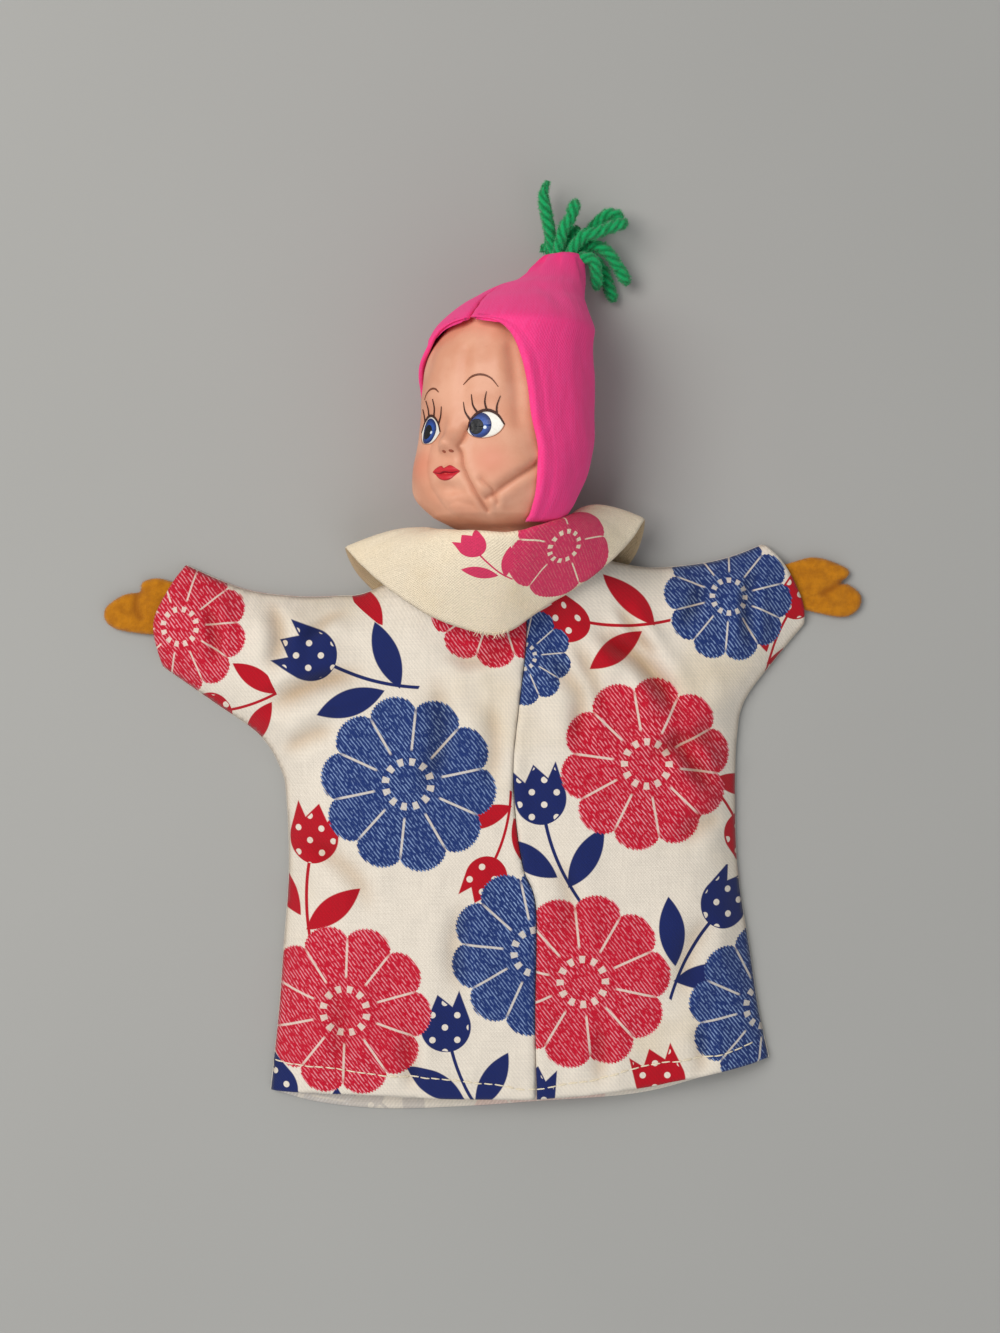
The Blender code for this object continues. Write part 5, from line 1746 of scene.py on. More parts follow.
@dataclass
class Glove:
    """Sewn cotton glove: two printed front halves on one back, with felt hands in its cuffs."""

    head: Head
    cotton: float = 0.8
    gap: float = 0.3
    neck_room: float = 1.0
    loft: float = 13.5
    loft_run: float = 10.0
    cuff_share: float = 0.45
    hem_share: float = 0.55
    hem_run: float = 30.0
    neck_edge: float = 28.0
    front_rise: float = 1.0
    back_rise: float = -10.0
    rise_end: float = 24.0
    ease: float = 1.6
    cell: float = 1.0
    half_seam: float = 0.03
    turnings: float = 2.0
    stitch_step: float = 3.2
    photo_scale: float = 0.3005
    photo_middle: Point = (500.0, 666.5)
    photo_shift: Point = (5.34, -7.0)
    left_shoulder: tuple[Point, ...] = (
        (-33.7, 16.3), (-44.4, 14.6), (-57.5, 14.5), (-73.0, 16.8), (-90.2, 24.0)
    )
    left_cuff: tuple[Point, ...] = ((-90.2, 24.0), (-95.0, 16.6), (-99.6, 5.6), (-97.2, -7.2))
    left_side: tuple[Point, ...] = (
        (-97.2, -7.2), (-81.0, -18.5), (-70.3, -25.8), (-65.1, -31.3), (-61.6, -38.0), (-59.9, -45.0),
        (-59.0, -68.2), (-60.8, -94.4), (-62.1, -112.0), (-64.6, -135.6),
    )
    right_shoulder: tuple[Point, ...] = ((39.8, 25.2), (50.5, 23.2), (64.5, 24.2), (75.0, 26.4), (85.6, 30.4))
    right_cuff: tuple[Point, ...] = ((85.6, 30.4), (91.6, 24.0), (97.0, 13.0), (98.0, 5.9))
    right_side: tuple[Point, ...] = (
        (98.0, 5.9), (89.2, -4.7), (79.8, -17.5), (77.5, -29.1), (77.0, -44.4), (77.3, -61.8),
        (78.5, -74.9), (81.3, -92.3), (84.0, -110.6), (87.4, -125.8),
    )
    front_hem_left: tuple[Point, ...] = (
        (-64.6, -135.6), (-44.7, -135.5), (-30.0, -136.0), (-17.2, -136.6), (2.9, -137.0)
    )
    front_hem_right: tuple[Point, ...] = (
        (26.4, -136.2), (46.8, -133.8), (57.5, -131.5), (68.2, -129.6), (87.4, -125.8)
    )
    back_hem: tuple[Point, ...] = (
        (-64.6, -135.6), (-50.0, -139.6), (-30.0, -141.6), (-7.2, -141.0), (16.0, -139.4), (46.8, -137.0),
        (68.2, -131.6), (87.4, -125.8),
    )
    centre_seam: tuple[Point, ...] = (
        (13.3, 4.0), (11.1, -18.0), (9.3, -35.5), (9.9, -51.0), (12.2, -67.0), (16.0, -79.0),
        (15.8, -112.0), (16.3, -137.0),
    )
    folds: tuple[tuple, ...] = (
        (((38.0, 5.0), (52.0, -5.0), (60.0, -15.0)), 6.0, 2.2),
        (((30.0, -23.0), (41.0, -13.0)), 4.0, 1.0),
        (((-20.0, -10.0), (-38.0, -2.0), (-60.0, 0.0)), 5.0, 1.2),
    )
    creases: tuple[tuple, ...] = (
        (((33.0, 6.0), (40.0, 0.0), (47.3, -5.0), (55.0, -14.5), (59.0, -24.0)), 2.8, 2.3),
        (((41.0, 13.0), (43.4, 8.0), (47.3, 1.0), (53.0, -5.0)), 2.0, 1.3),
        (((56.0, -24.0), (61.0, -33.0), (66.5, -39.9), (73.0, -43.0)), 2.4, 1.5),
        (((18.8, 1.0), (24.0, -8.0), (29.3, -17.0), (27.8, -35.0)), 2.6, 1.0),
        (((26.0, 4.0), (33.0, -10.0), (38.0, -24.0)), 2.4, 0.9),
        (((76.0, -30.0), (68.0, -28.0), (58.0, -30.0), (48.0, -36.0)), 2.8, 1.1),
        (((75.0, -52.0), (66.0, -54.0), (58.0, -60.0)), 3.0, 0.9),
        (((-84.0, 14.0), (-81.0, 7.0), (-80.0, -2.0), (-82.0, -9.0)), 1.8, 1.1),
        (((-66.0, 15.0), (-62.0, 8.0), (-60.7, 0.0), (-64.0, -10.0)), 2.4, 1.2),
        (((-56.0, 0.0), (-50.0, 4.0), (-45.0, 8.0), (-38.0, 10.0)), 2.0, 0.9),
        (((-66.0, -22.0), (-58.0, -16.0), (-46.0, -11.0), (-32.0, -8.0)), 3.0, 1.5),
        (((-62.0, -34.0), (-52.0, -28.0), (-42.0, -25.0)), 2.6, 1.0),
        (((-58.0, -58.0), (-48.0, -62.0), (-38.0, -70.0), (-32.0, -82.0)), 3.2, 0.9),
        (((-12.7, -2.0), (-4.0, -5.0), (5.0, -3.0), (11.0, 1.0)), 2.2, 0.8),
        (((-16.0, -6.0), (-12.0, -20.0), (-14.0, -36.0), (-20.0, -48.0)), 3.2, 0.9),
        (((2.0, -14.0), (4.0, -30.0), (2.0, -46.0)), 2.6, 0.8),
        (((20.0, -62.0), (26.0, -74.0), (26.0, -90.0)), 3.0, 0.7),
        (((-4.0, -74.0), (-8.0, -90.0), (-6.0, -108.0)), 3.2, 0.7),
        (((70.0, -80.0), (62.0, -92.0), (60.0, -108.0)), 3.4, 0.8),
        (((-46.0, -100.0), (-42.0, -114.0), (-44.0, -130.0)), 3.0, 0.7),
        (((-20.0, -112.0), (-22.0, -122.0), (-20.0, -136.0)), 2.6, 0.8),
        (((34.0, -112.0), (36.0, -122.0), (34.0, -134.0)), 2.6, 0.8),
        (((64.0, -112.0), (66.0, -120.0), (65.0, -131.0)), 2.6, 0.7),
        (((84.0, 26.0), (80.0, 16.0), (80.0, 4.0), (83.0, -4.0)), 1.9, 1.1),
        (((66.0, 22.0), (64.0, 12.0), (58.0, 4.0)), 2.4, 1.0),
    )
    hem_stitches: tuple[Point, ...] = (
        (273, 1064), (301, 1066), (333, 1067), (353, 1071), (376, 1073), (396, 1075), (426, 1076),
        (462, 1080), (500, 1084), (514, 1087), (538, 1088), (569, 1082), (594, 1079), (622, 1070),
        (653, 1063), (689, 1058), (724, 1053), (755, 1044),
    )

    def __post_init__(self) -> None:
        """Lay out the glove's edges."""
        self.neck_x, self.neck_z = self.head.neck_centre()
        self.tube_radius = self.head.neck_radius + self.gap + self.neck_room + self.cotton
        self.wrap = self.tube_radius * math.pi / 2.0
        self.shoulder_left = np.vstack([[(self.neck_x - self.wrap, self.neck_edge)], self.left_shoulder])
        self.shoulder_right = np.vstack([[(self.neck_x + self.wrap, self.neck_edge)], self.right_shoulder])
        seams = (self.shoulder_left, self.left_side, self.shoulder_right, self.right_side)
        self.sewn = [smooth_line(path) for path in seams]
        self.cuffs = [smooth_line(path) for path in (self.left_cuff, self.right_cuff)]
        marks = (np.array(self.hem_stitches) - self.photo_middle) * (self.photo_scale, -self.photo_scale)
        self.stitch_line = smooth_line(marks + self.photo_shift)

    def seam_away(self, x: Array, y: Array) -> Array:
        """Distance from the nearest sewn edge."""
        return np.minimum.reduce([distance_to_path(x, y, path) for path in self.sewn])

    def closing(self, distance: Array) -> Array:
        """How far the front has risen off the back at a distance from a sewn edge."""
        return 1.0 - np.exp(-distance / self.loft_run)

    def plain_loft(self, x: Array, y: Array) -> Array:
        """Height of the front above its sewn edges."""
        rise = np.full(x.shape, self.loft)
        for path in self.sewn:
            rise *= self.closing(distance_to_path(x, y, path))
        for path in self.cuffs:
            rise *= self.cuff_share + (1.0 - self.cuff_share) * self.closing(distance_to_path(x, y, path))
        lowest = min(point[1] for point in self.back_hem)
        rise *= self.hem_share + (1.0 - self.hem_share) * (1.0 - np.exp(-(y - lowest) / self.hem_run))
        for path, width, depth in self.folds:
            rise -= depth * bell(distance_to_path(x, y, smooth_line(path, 4)), width) * rise / self.loft
        return rise

    def along_fold(self, x: Array, y: Array, path: Sequence[Point]) -> tuple[Array, Array]:
        """Distance from a fold's line, and how strong the fold is there, less towards its ends."""
        line = smooth_line(path)
        away, _, _, along = nearest_on_path(x, y, line)
        length = line_length(line)
        return away, smoothstep(0.0, 0.35 * length, along) * smoothstep(length, 0.65 * length, along)

    def painted_shade_and_soil_mask(self, x: Array, y: Array) -> Array:
        """How much painted shade each place gets in its folds, and how soiled it is along the sewn edges."""
        painted_shade_and_soil = np.zeros(x.shape)
        # Painted shade along each crease, where the cloth dips.
        for path, width, depth in self.creases:
            away, fade = self.along_fold(x, y, path)
            painted_shade_and_soil = np.maximum(painted_shade_and_soil, 0.45 * min(depth, 1.6) * bell(away, 0.85 * width) * fade)
        # Soil along the sewn edges.
        for path in self.sewn:
            painted_shade_and_soil = np.maximum(painted_shade_and_soil, 0.35 * bell(distance_to_path(x, y, path), 1.2))
        return np.minimum(painted_shade_and_soil, 1.0)

    def wrinkles(self, x: Array, y: Array) -> Array:
        """Small folds, seam puckers and the hem's stitched groove."""
        inland = smoothstep(0.0, 9.0, self.seam_away(x, y))
        result = np.zeros(x.shape)
        for path, width, depth in self.creases:
            away, fade = self.along_fold(x, y, path)
            valley = bell(away, width) - 0.6 * bell(away - 2.1 * width, 1.3 * width)
            result -= 1.7 * depth * valley * fade * inland
        flat = flat_rows(x, y)
        drift = flat_rows(soft_noise(flat, 30.0, 11.0), soft_noise(flat, 30.0, 15.0)) * 9.0
        broad = soft_noise((flat + drift) * (1.0, 0.62, 1.0), 21.0, 1.0)
        ridges = 1.0 - np.abs(soft_noise((flat + drift) * (0.8, 1.1, 1.0), 15.0, 6.0))
        result += inland * (0.62 * broad + 0.42 * (ridges**3 - 0.3))
        result += inland * (0.16 * soft_noise(flat, 6.0, 4.0) + 0.05 * soft_noise(flat, 2.6, 8.0))
        for path in self.sewn:
            away, _, _, along = nearest_on_path(x, y, path)
            wave = np.sin(2.0 * np.pi * along / 5.4 + 1.3 * np.sin(along * 0.31))
            result += 0.24 * wave * bell(away - 1.5, 2.6) * smoothstep(0.2, 1.6, away)
            result -= 0.175 * bell(away - 2.6, 0.9)
        away, _, _, along = nearest_on_path(x, y, self.stitch_line)
        turns = 2.0 * np.pi * along / self.stitch_step
        result -= 0.34 * bell(away, 0.6) * (0.75 + 0.25 * np.sin(turns))
        result += 0.16 * bell(away - 1.8, 1.2) * np.sin(turns / 2.0 + 0.8)
        return result

    def neck_wrap(self, x: Array, side: float) -> tuple[Array, Array]:
        """Where the sheet goes on the neck's tube; side is 1 in front, -1 behind."""
        across = x - self.neck_x
        on_tube = np.abs(across) <= self.wrap
        angle = np.clip(across / self.tube_radius, -math.pi / 2.0, math.pi / 2.0)
        beyond = np.sign(across) * (self.tube_radius + np.abs(across) - self.wrap)
        wrapped_x = self.neck_x + np.where(on_tube, self.tube_radius * np.sin(angle), beyond)
        wrapped_z = self.neck_z + np.where(on_tube, side * self.tube_radius * np.cos(angle), 0.0)
        return wrapped_x, wrapped_z

    def neck_share(self, x: Array, y: Array, start: float) -> Array:
        """How far a point has gone from the flat glove to the neck's tube."""
        return smoothstep(start, self.rise_end, y) * (1.0 - smoothstep(16.0, 48.0, np.abs(x - self.neck_x)))

    def front(self, x: Array, y: Array, added: Array) -> Array:
        """Points of the front's outer face, with small folds added to its height."""
        edge = 2.0 * self.cotton + self.gap
        pressed = 0.22 * np.exp(-self.seam_away(x, y) / 0.8)
        flat = rows_of(x, y, edge + self.plain_loft(x, y) + added - pressed)
        wrapped_x, wrapped_z = self.neck_wrap(x, 1.0)
        beside = smoothstep(0.5 * self.wrap, self.wrap, np.abs(x - self.neck_x))
        tube_points = rows_of(wrapped_x, y, wrapped_z + edge * beside + 0.1 * added)
        share = self.neck_share(x, y, self.front_rise)[:, None]
        points = flat * (1.0 - share) + tube_points * share
        back_share = self.neck_share(x, y, self.back_rise)
        lowest = back_share * self.neck_z * beside + edge - pressed
        lift = self.ease * 4.0 * back_share * (1.0 - back_share)
        points[:, 2] = np.maximum(points[:, 2], lowest) + lift * beside
        return points

    def back(self, x: Array, y: Array) -> Array:
        """Points of the back's outer face, flat on the table below the shoulders."""
        wrapped_x, wrapped_z = self.neck_wrap(x, -1.0)
        share = self.neck_share(x, y, self.back_rise)[:, None]
        return flat_rows(x, y) * (1.0 - share) + rows_of(wrapped_x, y, wrapped_z) * share

    def hem_thickness(self, x: Array, y: Array, hem: Array) -> Array:
        """Cloth thickness, doubled where the hem is turned up."""
        away = distance_to_path(x, y, hem)
        return self.cotton * (1.0 + 0.8 * smoothstep(7.4, 6.6, away))

    def lay_out(
        self, name: str, surface: Surface, node: str, finish: Finish
    ) -> None:
        """Args:
            name: The piece's name.
            surface: Its mesh.
            node: CAD node that it stands for.
            finish: Its printed cloth.
        """
        piece = make_piece(name, surface, finish, [node])

    def build_front(self, name: str, outline: Array, hem: Array, node: str, finish: Finish) -> None:
        """Make one front half.

        Args:
            name: The piece's name.
            outline: Its flat outline.
            hem: The part of it that is hemmed.
            node: CAD node that it stands for.
            finish: Its printed cloth.
        """
        cloth = cut_cloth(outline, self.cell)
        x, y = cloth.points.T
        away, _, _, along = nearest_on_path(x, y, self.middle_line())
        pucker = np.sin(2.0 * np.pi * along / 7.0) * bell(away, 3.4) * smoothstep(0.3, 1.5, away)
        added = self.wrinkles(x, y) - 0.28 * bell(away, 0.7) + 0.20 * bell(away - 2.4, 1.3) + 0.18 * pucker
        values = {"print": flat_rows(x, y), "painted_shade_and_soil": self.painted_shade_and_soil_mask(x, y)}
        thickness = self.hem_thickness(x, y, hem)
        surface = sheet_solid(self.front(x, y, added), cloth.faces, thickness, values, 0.28)
        self.lay_out(name, surface, node, finish)

    def middle_line(self) -> Array:
        """The centre seam from the neck to the hem."""
        return smooth_line([(self.neck_x + 4.0, self.neck_edge), *self.centre_seam])

    def outlines(self) -> tuple[Array, Array, Array]:
        """Flat outlines of the left half, the right half and the back."""
        seam = np.array([self.half_seam, 0.0])
        left_middle, right_middle = self.middle_line() - seam, self.middle_line() + seam
        left_hem = smooth_line([*self.front_hem_left, tuple(left_middle[-1])])
        right_hem = smooth_line([tuple(right_middle[-1]), *self.front_hem_right])
        left_side = [smooth_line(path) for path in (self.shoulder_left, self.left_cuff, self.left_side)]
        right_side = [smooth_line(path) for path in (self.shoulder_right, self.right_cuff, self.right_side)]
        left_up, right_up = (
            [path[::-1][:-1] for path in side[:0:-1]] + [side[0][::-1]] for side in (left_side, right_side)
        )
        left = [left_middle[:-1], left_hem[::-1][:-1], *left_up]
        right = [right_middle[:-1], right_hem[:-1], *right_up]
        back = [smooth_line(self.back_hem)[:-1], *right_up, *[path[:-1] for path in left_side]]
        return np.vstack(left), np.vstack(right), np.vstack(back)

    def build_back(self, outline: Array, finish: Finish) -> None:
        """Make the back."""
        cloth = cut_cloth(outline, self.cell * 1.25)
        x, y = cloth.points.T
        values = {"print": flat_rows(3.0 - x, y), "painted_shade_and_soil": 0.0 * x}
        thickness = np.full(len(x), self.cotton)
        surface = sheet_solid(self.back(x, y), cloth.faces[:, ::-1], thickness, values)
        self.lay_out("glove_back", surface, "back_panel", finish)

    def sew_line(self, name: str, line: Array, step: float, share: float, finish: Finish) -> None:
        """Lay running stitches on the front along a flat line.

        Args:
            name: The piece's name.
            line: Flat line.
            step: Length of a stitch and the gap after it.
            share: Share of the step that shows as thread.
            finish: The thread.
        """
        dice = random.Random(17)
        marks = even_line(line, step)
        arch = np.sin(np.linspace(0.0, np.pi, 9))
        stitches = []
        for start, end in zip(marks, marks[1:]):
            tail = start + (end - start) * share * dice.uniform(0.9, 1.06)
            flat = start + (tail - start) * np.linspace(0.0, 1.0, 9)[:, None]
            x, y = (flat + np.array([0.0, dice.uniform(-0.12, 0.12)])).T
            points = self.front(x, y, self.wrinkles(x, y))
            points[:, 2] += 0.02 + 0.34 * arch
            radius = 0.26 * (0.75 + 0.25 * arch)
            stitches.append(tube(points, radius, 8, lobes=2, twist=6.0, depth=0.25))
        make_piece(name, reduce(Surface.joined, stitches), finish)

    def build(
        self, left_print: PrintedCotton, right_print: PrintedCotton, back_print: PrintedCotton,
        thread: Thread
    ) -> None:
        """Make the whole glove."""
        left, right, back = self.outlines()
        self.build_back(back, back_print.build())
        hem_left = smooth_line([*self.front_hem_left, self.centre_seam[-1]])
        hem_right = smooth_line([self.centre_seam[-1], *self.front_hem_right])
        self.build_front("glove_front_left", left, hem_left, "front_left_panel", left_print.build())
        self.build_front("glove_front_right", right, hem_right, "front_right_panel", right_print.build())
        self.sew_line("hem_stitches", self.stitch_line, self.stitch_step, 0.84, thread.build())


# Collar and hands


@dataclass
class Collar:
    """Round collar in crepe cotton, bent over from the neck, with points to both sides and a frayed tip."""

    head: Head
    thickness: float = 0.8
    neck_room: float = 3.8
    ring_y: float = 30.0
    lowest: float = 0.45
    flat_hole: float = 16.0
    tip: float = 0.262
    tip_half: float = 0.021
    columns: int = 420
    rows: int = 64
    edge: tuple[Point, ...] = (
        (48.4, 36.4, 14.0), (43.2, 29.6, 19.0), (34.2, 21.4, 23.5), (19.4, 11.6, 24.0), (5.2, 2.6, 22.5),
        (-12.8, 7.6, 22.0), (-26.0, 14.6, 21.0), (-34.4, 22.2, 17.0), (-40.8, 28.2, 12.5),
        (-37.0, 20.0, 2.8), (-26.0, 11.0, 1.2), (-10.0, 7.0, 0.9), (6.0, 6.0, 0.9), (22.0, 8.5, 0.9),
        (36.0, 15.0, 1.4), (46.2, 26.5, 5.0),
    )
    bend: tuple[Point, ...] = (
        (25.5, 46.0, 21.0), (25.5, 45.5, 33.0), (23.2, 43.5, 43.0), (16.0, 39.5, 51.5), (7.5, 36.0, 52.5),
        (-1.5, 36.5, 51.0), (-10.0, 37.5, 43.5), (-14.5, 37.5, 32.0), (-15.5, 38.5, 21.0),
        (-14.0, 36.0, 6.0), (-9.0, 32.0, 2.0), (-1.0, 30.0, 1.4), (7.6, 30.0, 1.2), (16.0, 31.0, 1.4),
        (23.0, 35.0, 3.0), (27.0, 41.0, 10.0),
    )

    def sheet(self, across: Array, down: Array) -> Array:
        """Points of the smooth collar.

        Args:
            across: Share of the way round, from the right-hand tip.
            down: Share of the way from the neck to the edge.

        Returns:
            The points.
        """
        angle = 2.0 * np.pi * across
        radius = self.head.neck_radius + self.neck_room
        centre_x, centre_z = self.head.neck_centre()
        ring = [centre_x + radius * np.cos(angle), np.full(angle.shape, self.ring_y)]
        inner = np.stack([*ring, centre_z + radius * np.sin(angle)], axis=-1)
        bend, edge = (curve_points(ring, across * len(ring), closed=True) for ring in (self.bend, self.edge))
        share = down[..., None]
        return inner * (1.0 - share) ** 2 + bend * 2.0 * share * (1.0 - share) + edge * share**2

    def build(self, finish: CollarCloth) -> None:
        """Make the collar and the threads frayed from its lower tip."""
        across, down = np.meshgrid(np.arange(self.columns) / self.columns, np.linspace(0.0, 1.0, self.rows))
        points = self.sheet(across, down).reshape(-1, 3)
        faces = grid_faces(self.columns, self.rows, around=True)
        normals = vertex_normals(points, faces)
        across, down = across.ravel(), down.ravel()
        angle = 2.0 * np.pi * across
        ring = rows_of(np.cos(angle) * 8.0, np.sin(angle) * 8.0, down * 3.0)
        ripple = 0.55 * soft_noise(ring, 3.2, 2.0) + 0.20 * soft_noise(ring, 1.1, 5.0)
        edge_share = smoothstep(0.25, 1.0, down)
        front = bell(across - 0.27, 0.20)
        scallop = 0.45 * np.sin(angle * 7.0 + 0.7) * front * edge_share
        calm = 1.0 - 0.75 * smoothstep(0.5, 0.62, across) * smoothstep(0.98, 0.9, across)
        calm = calm * smoothstep(0.0, 0.25, down)
        lifted = 0.35 * smoothstep(0.45, 0.7, down)
        relief = (ripple * (0.35 + 0.65 * edge_share) + scallop + lifted) * calm
        points = points + normals * relief[:, None]
        points[:, 2] = np.maximum(points[:, 2], self.lowest)
        lift = vertex_normals(points, faces)
        across_grid = points.reshape(self.rows, self.columns, 3)
        steps = np.linalg.norm(np.diff(across_grid, axis=0), axis=2)
        flat_radius = np.vstack([np.zeros(self.columns), np.cumsum(steps, axis=0)]) + self.flat_hole
        radius = flat_radius.ravel()
        place = flat_rows(radius * np.cos(angle), -radius * np.sin(angle))
        outer = points + lift * self.thickness / 2.0
        surface = sheet_solid(outer, faces, np.full(len(outer), self.thickness), {"print": place})
        piece = make_piece("collar_cloth", surface, finish.build(), ["collar"])
        self.build_fray(finish)

    def build_fray(self, finish: CollarCloth) -> None:
        """Loose threads at the collar's lower tip."""
        dice = random.Random(5)
        steps = np.linspace(0.0, 1.0, 6)[:, None]
        threads = []
        for _ in range(30):
            at = self.tip + dice.uniform(-self.tip_half, self.tip_half)
            root = self.sheet(np.array([at]), np.array([0.985]))[0] + np.array([0.0, 0.0, 0.25])
            reach = dice.uniform(1.2, 3.4) * (1.0 - 0.5 * abs(at - self.tip) / self.tip_half)
            heading = np.array([dice.uniform(-0.5, 0.4), -1.0, dice.uniform(-0.35, 0.1)])
            bend = np.array([dice.uniform(-0.6, 0.6), 0.0, dice.uniform(-0.4, 0.4)])
            line = root + heading * reach * steps + bend * reach * steps**2
            radius = np.linspace(0.14, 0.05, len(line))
            threads.append(tube(line, radius, 6, lobes=2, twist=5.0, depth=0.2))
        joined = reduce(Surface.joined, threads)
        unprinted = np.tile([0.0, 60.0, 0.0], (len(joined.points), 1))
        joined.values = {"print": unprinted, "inside": np.zeros(len(joined.points))}
        make_piece("collar_fray", joined, finish.build())


@dataclass
class FeltHands:
    """Two felt mittens that stick out of the cuffs."""

    felt: float = 1.6
    low: float = 1.1
    cell: float = 0.8
    hair_shape: tuple[Point, ...] = ((0.0, 1.0), (0.6, 0.8), (1.0, 0.2))
    left: tuple[Point, ...] = (
        (-88.4, 12.0), (-88.4, 17.6), (-94.0, 18.6), (-98.8, 19.8), (-103.2, 18.6), (-104.4, 15.6),
        (-108.8, 14.8), (-113.6, 11.8), (-115.0, 9.0), (-114.0, 6.2), (-110.6, 4.2), (-103.2, 3.0),
        (-97.0, 2.6), (-90.0, 1.6), (-89.0, 6.0),
    )
    right: tuple[Point, ...] = (
        (88.0, 21.6), (97.4, 25.6), (102.2, 26.0), (107.4, 24.4), (111.2, 22.4), (111.0, 20.4),
        (108.6, 18.4), (111.4, 17.8), (115.0, 14.6), (114.4, 10.8), (111.2, 8.4), (107.4, 8.2),
        (102.4, 9.2), (94.6, 11.2), (88.6, 13.6),
    )
    lines: tuple[tuple[Point, ...], ...] = (
        ((108.4, 18.4), (106.0, 16.8), (103.6, 15.2)), ((-104.4, 15.4), (-105.6, 11.4), (-104.0, 7.6))
    )

    def build_hand(self, name: str, ring: Sequence[Point], node: str, seed: int, finish: Finish) -> None:
        """Make one hand.

        Args:
            name: The piece's name.
            ring: Its outline.
            node: CAD node that it stands for.
            seed: Seed of its fibres.
            finish: Its felt.
        """
        outline = curve_points(ring, np.arange(0, len(ring) * 10) / 10.0, closed=True)
        if signed_area(outline) < 0.0:
            outline = outline[::-1]
        cloth = cut_cloth(outline, self.cell)
        x, y = cloth.points.T
        flat = flat_rows(x, y)
        inner = smoothstep(0.0, 3.0, cloth.edge_away)
        fold = np.zeros(len(x))
        for line in self.lines:
            fold += bell(distance_to_path(x, y, smooth_line(line)), 1.1)
        uneven = 0.28 * soft_noise(flat, 6.0, seed) + 0.1 * soft_noise(flat, 2.0, seed + 3.0)
        top = self.low + self.felt + inner * uneven - 0.5 * fold
        # The same lines darken the felt as painted shade.
        values = {"cloth": flat, "fold": np.clip(fold, 0.0, 1.0)}
        surface = sheet_solid(rows_of(x, y, top), cloth.faces, np.full(len(x), self.felt), values, 0.45)
        surface = surface.joined(self.fibres(outline, seed))
        piece = make_piece(name, surface, finish, [node])

    def fibres(self, outline: Array, seed: int) -> Surface:
        """Short hairs round the cut edge."""
        dice = random.Random(seed)
        ring = even_line(np.vstack([outline, outline[:1]]), 0.16)
        points, faces = [], []
        for start, end in zip(ring, ring[1:]):
            along = Vector((*(end - start), 0.0)).normalized()
            out = Vector((along.y, -along.x, dice.uniform(-0.6, 0.9))).normalized()
            root = Vector((*start, self.low + self.felt * dice.uniform(0.15, 0.9))) - out * 0.25
            reach = dice.uniform(0.25, 0.8)
            bend = along * dice.uniform(-0.6, 0.6)
            faces += blade_faces(len(points), len(self.hair_shape))
            points += blade(root, out * reach, bend * reach, along * 0.035, self.hair_shape)
        flat = np.array([tuple(point) for point in points])
        return Surface(flat, faces, {"cloth": flat, "fold": flat[:, 0] * 0.0})

    def build(self, finish: Felt) -> None:
        """Make both hands."""
        felt = finish.build()
        self.build_hand("felt_hand_left", self.left, "hand_left", 3, felt)
        self.build_hand("felt_hand_right", self.right, "hand_right", 8, felt)


# Studio


@dataclass
class Studio:
    """Plain pale table, soft lights and the camera over the puppet."""

    table: float = 14.0
    distance: float = 0.6
    lens: float = 53.13
    aim: tuple[float, float] = (0.00528, -0.00559)
    light_side: float = 0.72
    key_watts: float = 10.2
    fill_watts: float = 3.6

    def soft_light(
        self, name: str, spot: Sequence[float], size: float, watts: float, tint: Sequence[float]
    ) -> None:
        """Add one large square lamp that looks at the puppet."""
        data = bpy.data.lights.new(name, "AREA")
        data.shape = "SQUARE"
        data.size = size
        data.energy = watts
        data.color = tint
        lamp = bpy.data.objects.new(name, data)
        lamp.location = spot
        towards = Vector((0.0, -0.01, 0.02)) - Vector(spot)
        lamp.rotation_euler = towards.to_track_quat("-Z", "Y").to_euler()
        bpy.context.scene.collection.objects.link(lamp)

    def build(self, finish: TableTop) -> None:
        """Make the table, lamps, surroundings and camera."""
        half = self.table / 2.0
        mesh = bpy.data.meshes.new("table_top")
        corners = [(-half, -half, 0.0), (half, -half, 0.0), (half, half, 0.0), (-half, half, 0.0)]
        mesh.from_pydata(corners, [], [(0, 1, 2, 3)])
        mesh.materials.append(finish.build())
        table = bpy.data.objects.new("table_top", mesh)
        table.location.z = -0.0002
        bpy.context.scene.collection.objects.link(table)
        self.soft_light(
            "window_light", (-0.58, 0.24, 1.0), self.light_side, self.key_watts, (1.0, 0.982, 0.955)
        )
        self.soft_light("room_light", (0.3, -0.85, 0.8), 1.3, self.fill_watts, (0.97, 0.985, 1.0))
        world = bpy.data.worlds.new("room")
        world.use_nodes = True
        background = world.node_tree.nodes["Background"]
        background.inputs["Color"].default_value = (0.86, 0.89, 0.93, 1.0)
        background.inputs["Strength"].default_value = 0.37
        bpy.context.scene.world = world
        camera_data = bpy.data.cameras.new("camera")
        camera_data.sensor_width = 36.0
        camera_data.lens = self.lens
        camera_data.clip_start = 0.01
        camera = bpy.data.objects.new("camera", camera_data)
        camera.location = (self.aim[0], self.aim[1], self.distance)
        bpy.context.scene.collection.objects.link(camera)
        bpy.context.scene.camera = camera
        bpy.context.scene.view_settings.view_transform = "Standard"


# The cloth's print on each piece of the glove, in its own flat pattern

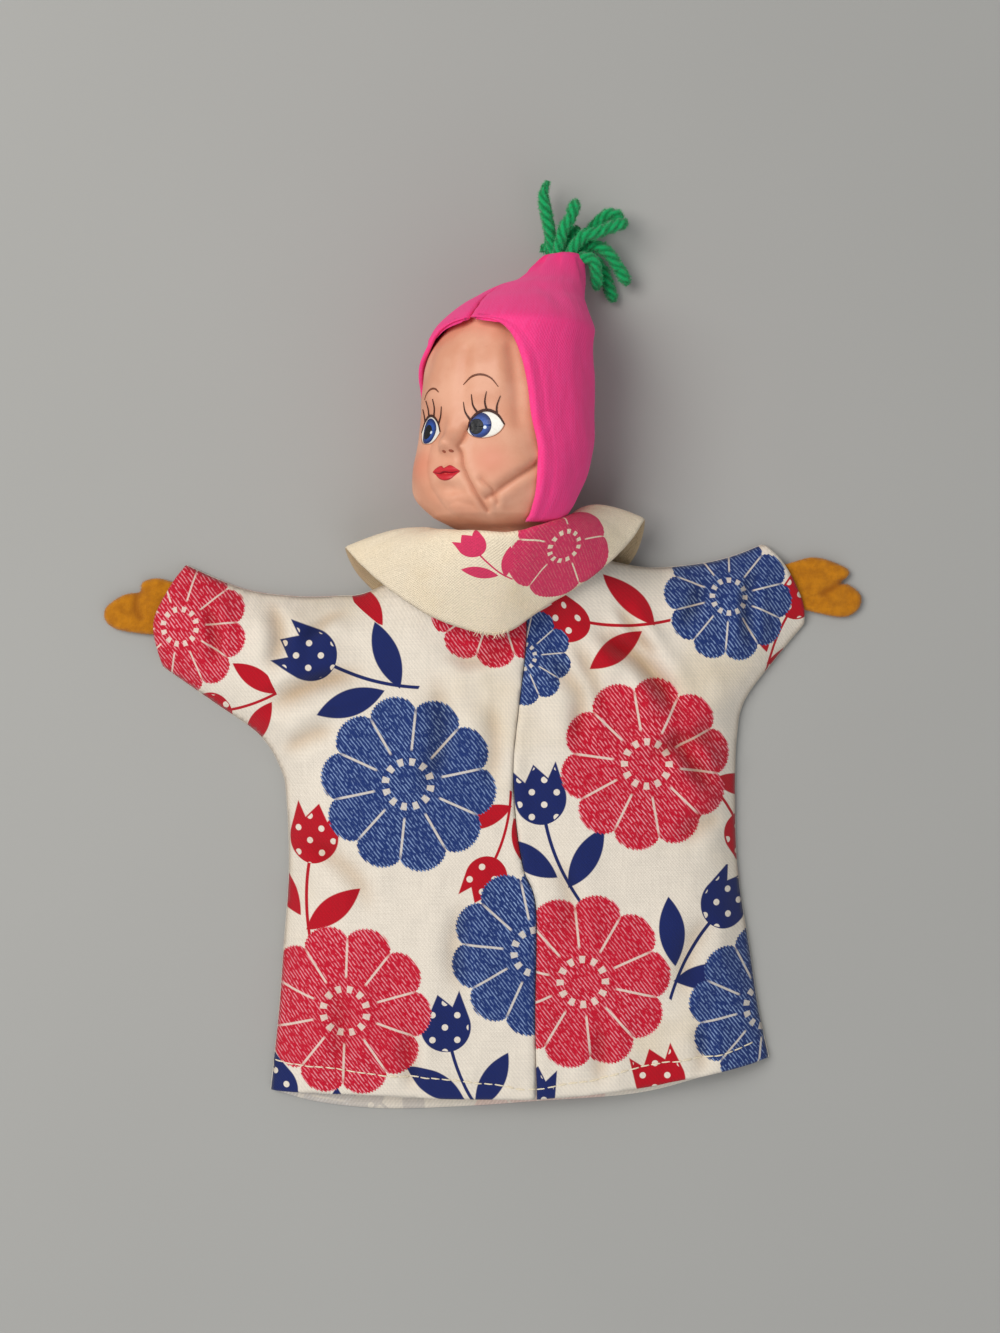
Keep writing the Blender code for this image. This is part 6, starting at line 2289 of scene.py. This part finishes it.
WARM, COOL = Tone.WARM, Tone.COOL
LEFT_PRINT = PrintedCotton(
    name="printed_cotton_left",
    blossoms=(
        Motif(-22.0, -42.0, 27.0, 12.0, COOL), Motif(-41.0, -110.0, 26.5, -20.0, WARM),
        Motif(-91.0, 5.0, 21.0, 40.0, WARM), Motif(16.0, -92.0, 26.0, 30.0, COOL),
        Motif(4.0, 14.0, 22.0, 0.0, WARM),
    ),
    tulips=(
        Motif(-44.0, -7.0, 19.0, 64.0, COOL), Motif(-52.0, -66.0, 18.5, -10.0, WARM),
        Motif(-9.0, -122.0, 18.0, 14.0, COOL), Motif(4.0, -64.0, 15.0, 155.0, WARM),
        Motif(-76.0, -20.0, 15.0, 100.0, WARM), Motif(-58.0, -140.0, 17.0, 40.0, COOL),
        Motif(-24.0, 18.0, 15.0, -100.0, WARM),
    ),
)
RIGHT_PRINT = PrintedCotton(
    name="printed_cotton_right",
    blossoms=(
        Motif(49.0, -36.0, 26.5, -8.0, WARM), Motif(30.0, -101.0, 27.0, 24.0, WARM),
        Motif(86.0, -110.0, 25.0, 10.0, COOL), Motif(74.0, 14.0, 20.0, 50.0, COOL),
        Motif(12.0, -4.0, 15.0, 5.0, COOL),
    ),
    tulips=(
        Motif(19.0, -54.0, 18.5, 12.0, COOL), Motif(68.0, -84.0, 18.5, -40.0, COOL),
        Motif(56.0, -138.0, 18.0, 20.0, WARM), Motif(76.0, -52.0, 15.0, -150.0, WARM),
        Motif(33.0, 6.0, 17.0, 80.0, WARM), Motif(92.0, 8.0, 14.0, -30.0, WARM),
        Motif(14.0, -142.0, 16.0, -10.0, COOL),
    ),
)
BACK_PRINT = PrintedCotton(
    name="printed_cotton_back",
    blossoms=(
        Motif(-34.0, -30.0, 27.0, 18.0, WARM), Motif(36.0, -36.0, 26.0, -12.0, COOL),
        Motif(-44.0, -98.0, 26.5, 30.0, COOL), Motif(20.0, -100.0, 27.0, 6.0, WARM),
        Motif(66.0, 10.0, 20.0, -30.0, WARM), Motif(-74.0, 12.0, 20.0, 14.0, COOL),
        Motif(-16.0, -150.0, 24.0, 44.0, WARM), Motif(64.0, -136.0, 24.0, 10.0, COOL),
    ),
    tulips=(
        Motif(0.0, -12.0, 18.0, 8.0, COOL), Motif(-4.0, -64.0, 18.0, -20.0, COOL),
        Motif(58.0, -82.0, 18.5, 26.0, WARM), Motif(-68.0, -62.0, 17.0, 160.0, WARM),
        Motif(-12.0, -118.0, 16.0, 60.0, WARM), Motif(-74.0, -132.0, 18.0, -20.0, WARM),
        Motif(34.0, -140.0, 16.0, -50.0, COOL), Motif(-48.0, 6.0, 14.0, 60.0, WARM),
        Motif(94.0, 12.0, 14.0, -80.0, COOL),
    ),
)


def main() -> None:
    """Build every group."""
    logging.basicConfig(level=logging.INFO, format="%(levelname)s %(message)s")
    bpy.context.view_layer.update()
    head = Head()
    head.build_shell(MouldedSkin())
    FacePaint(head).build()
    Hood(head).build(Flannel())
    YarnTuft().build(Yarn())
    Glove(head).build(LEFT_PRINT, RIGHT_PRINT, BACK_PRINT, Thread())
    Collar(head).build(CollarCloth())
    FeltHands().build(Felt())
    Studio().build(TableTop())


if __name__ == "__main__":
    main()
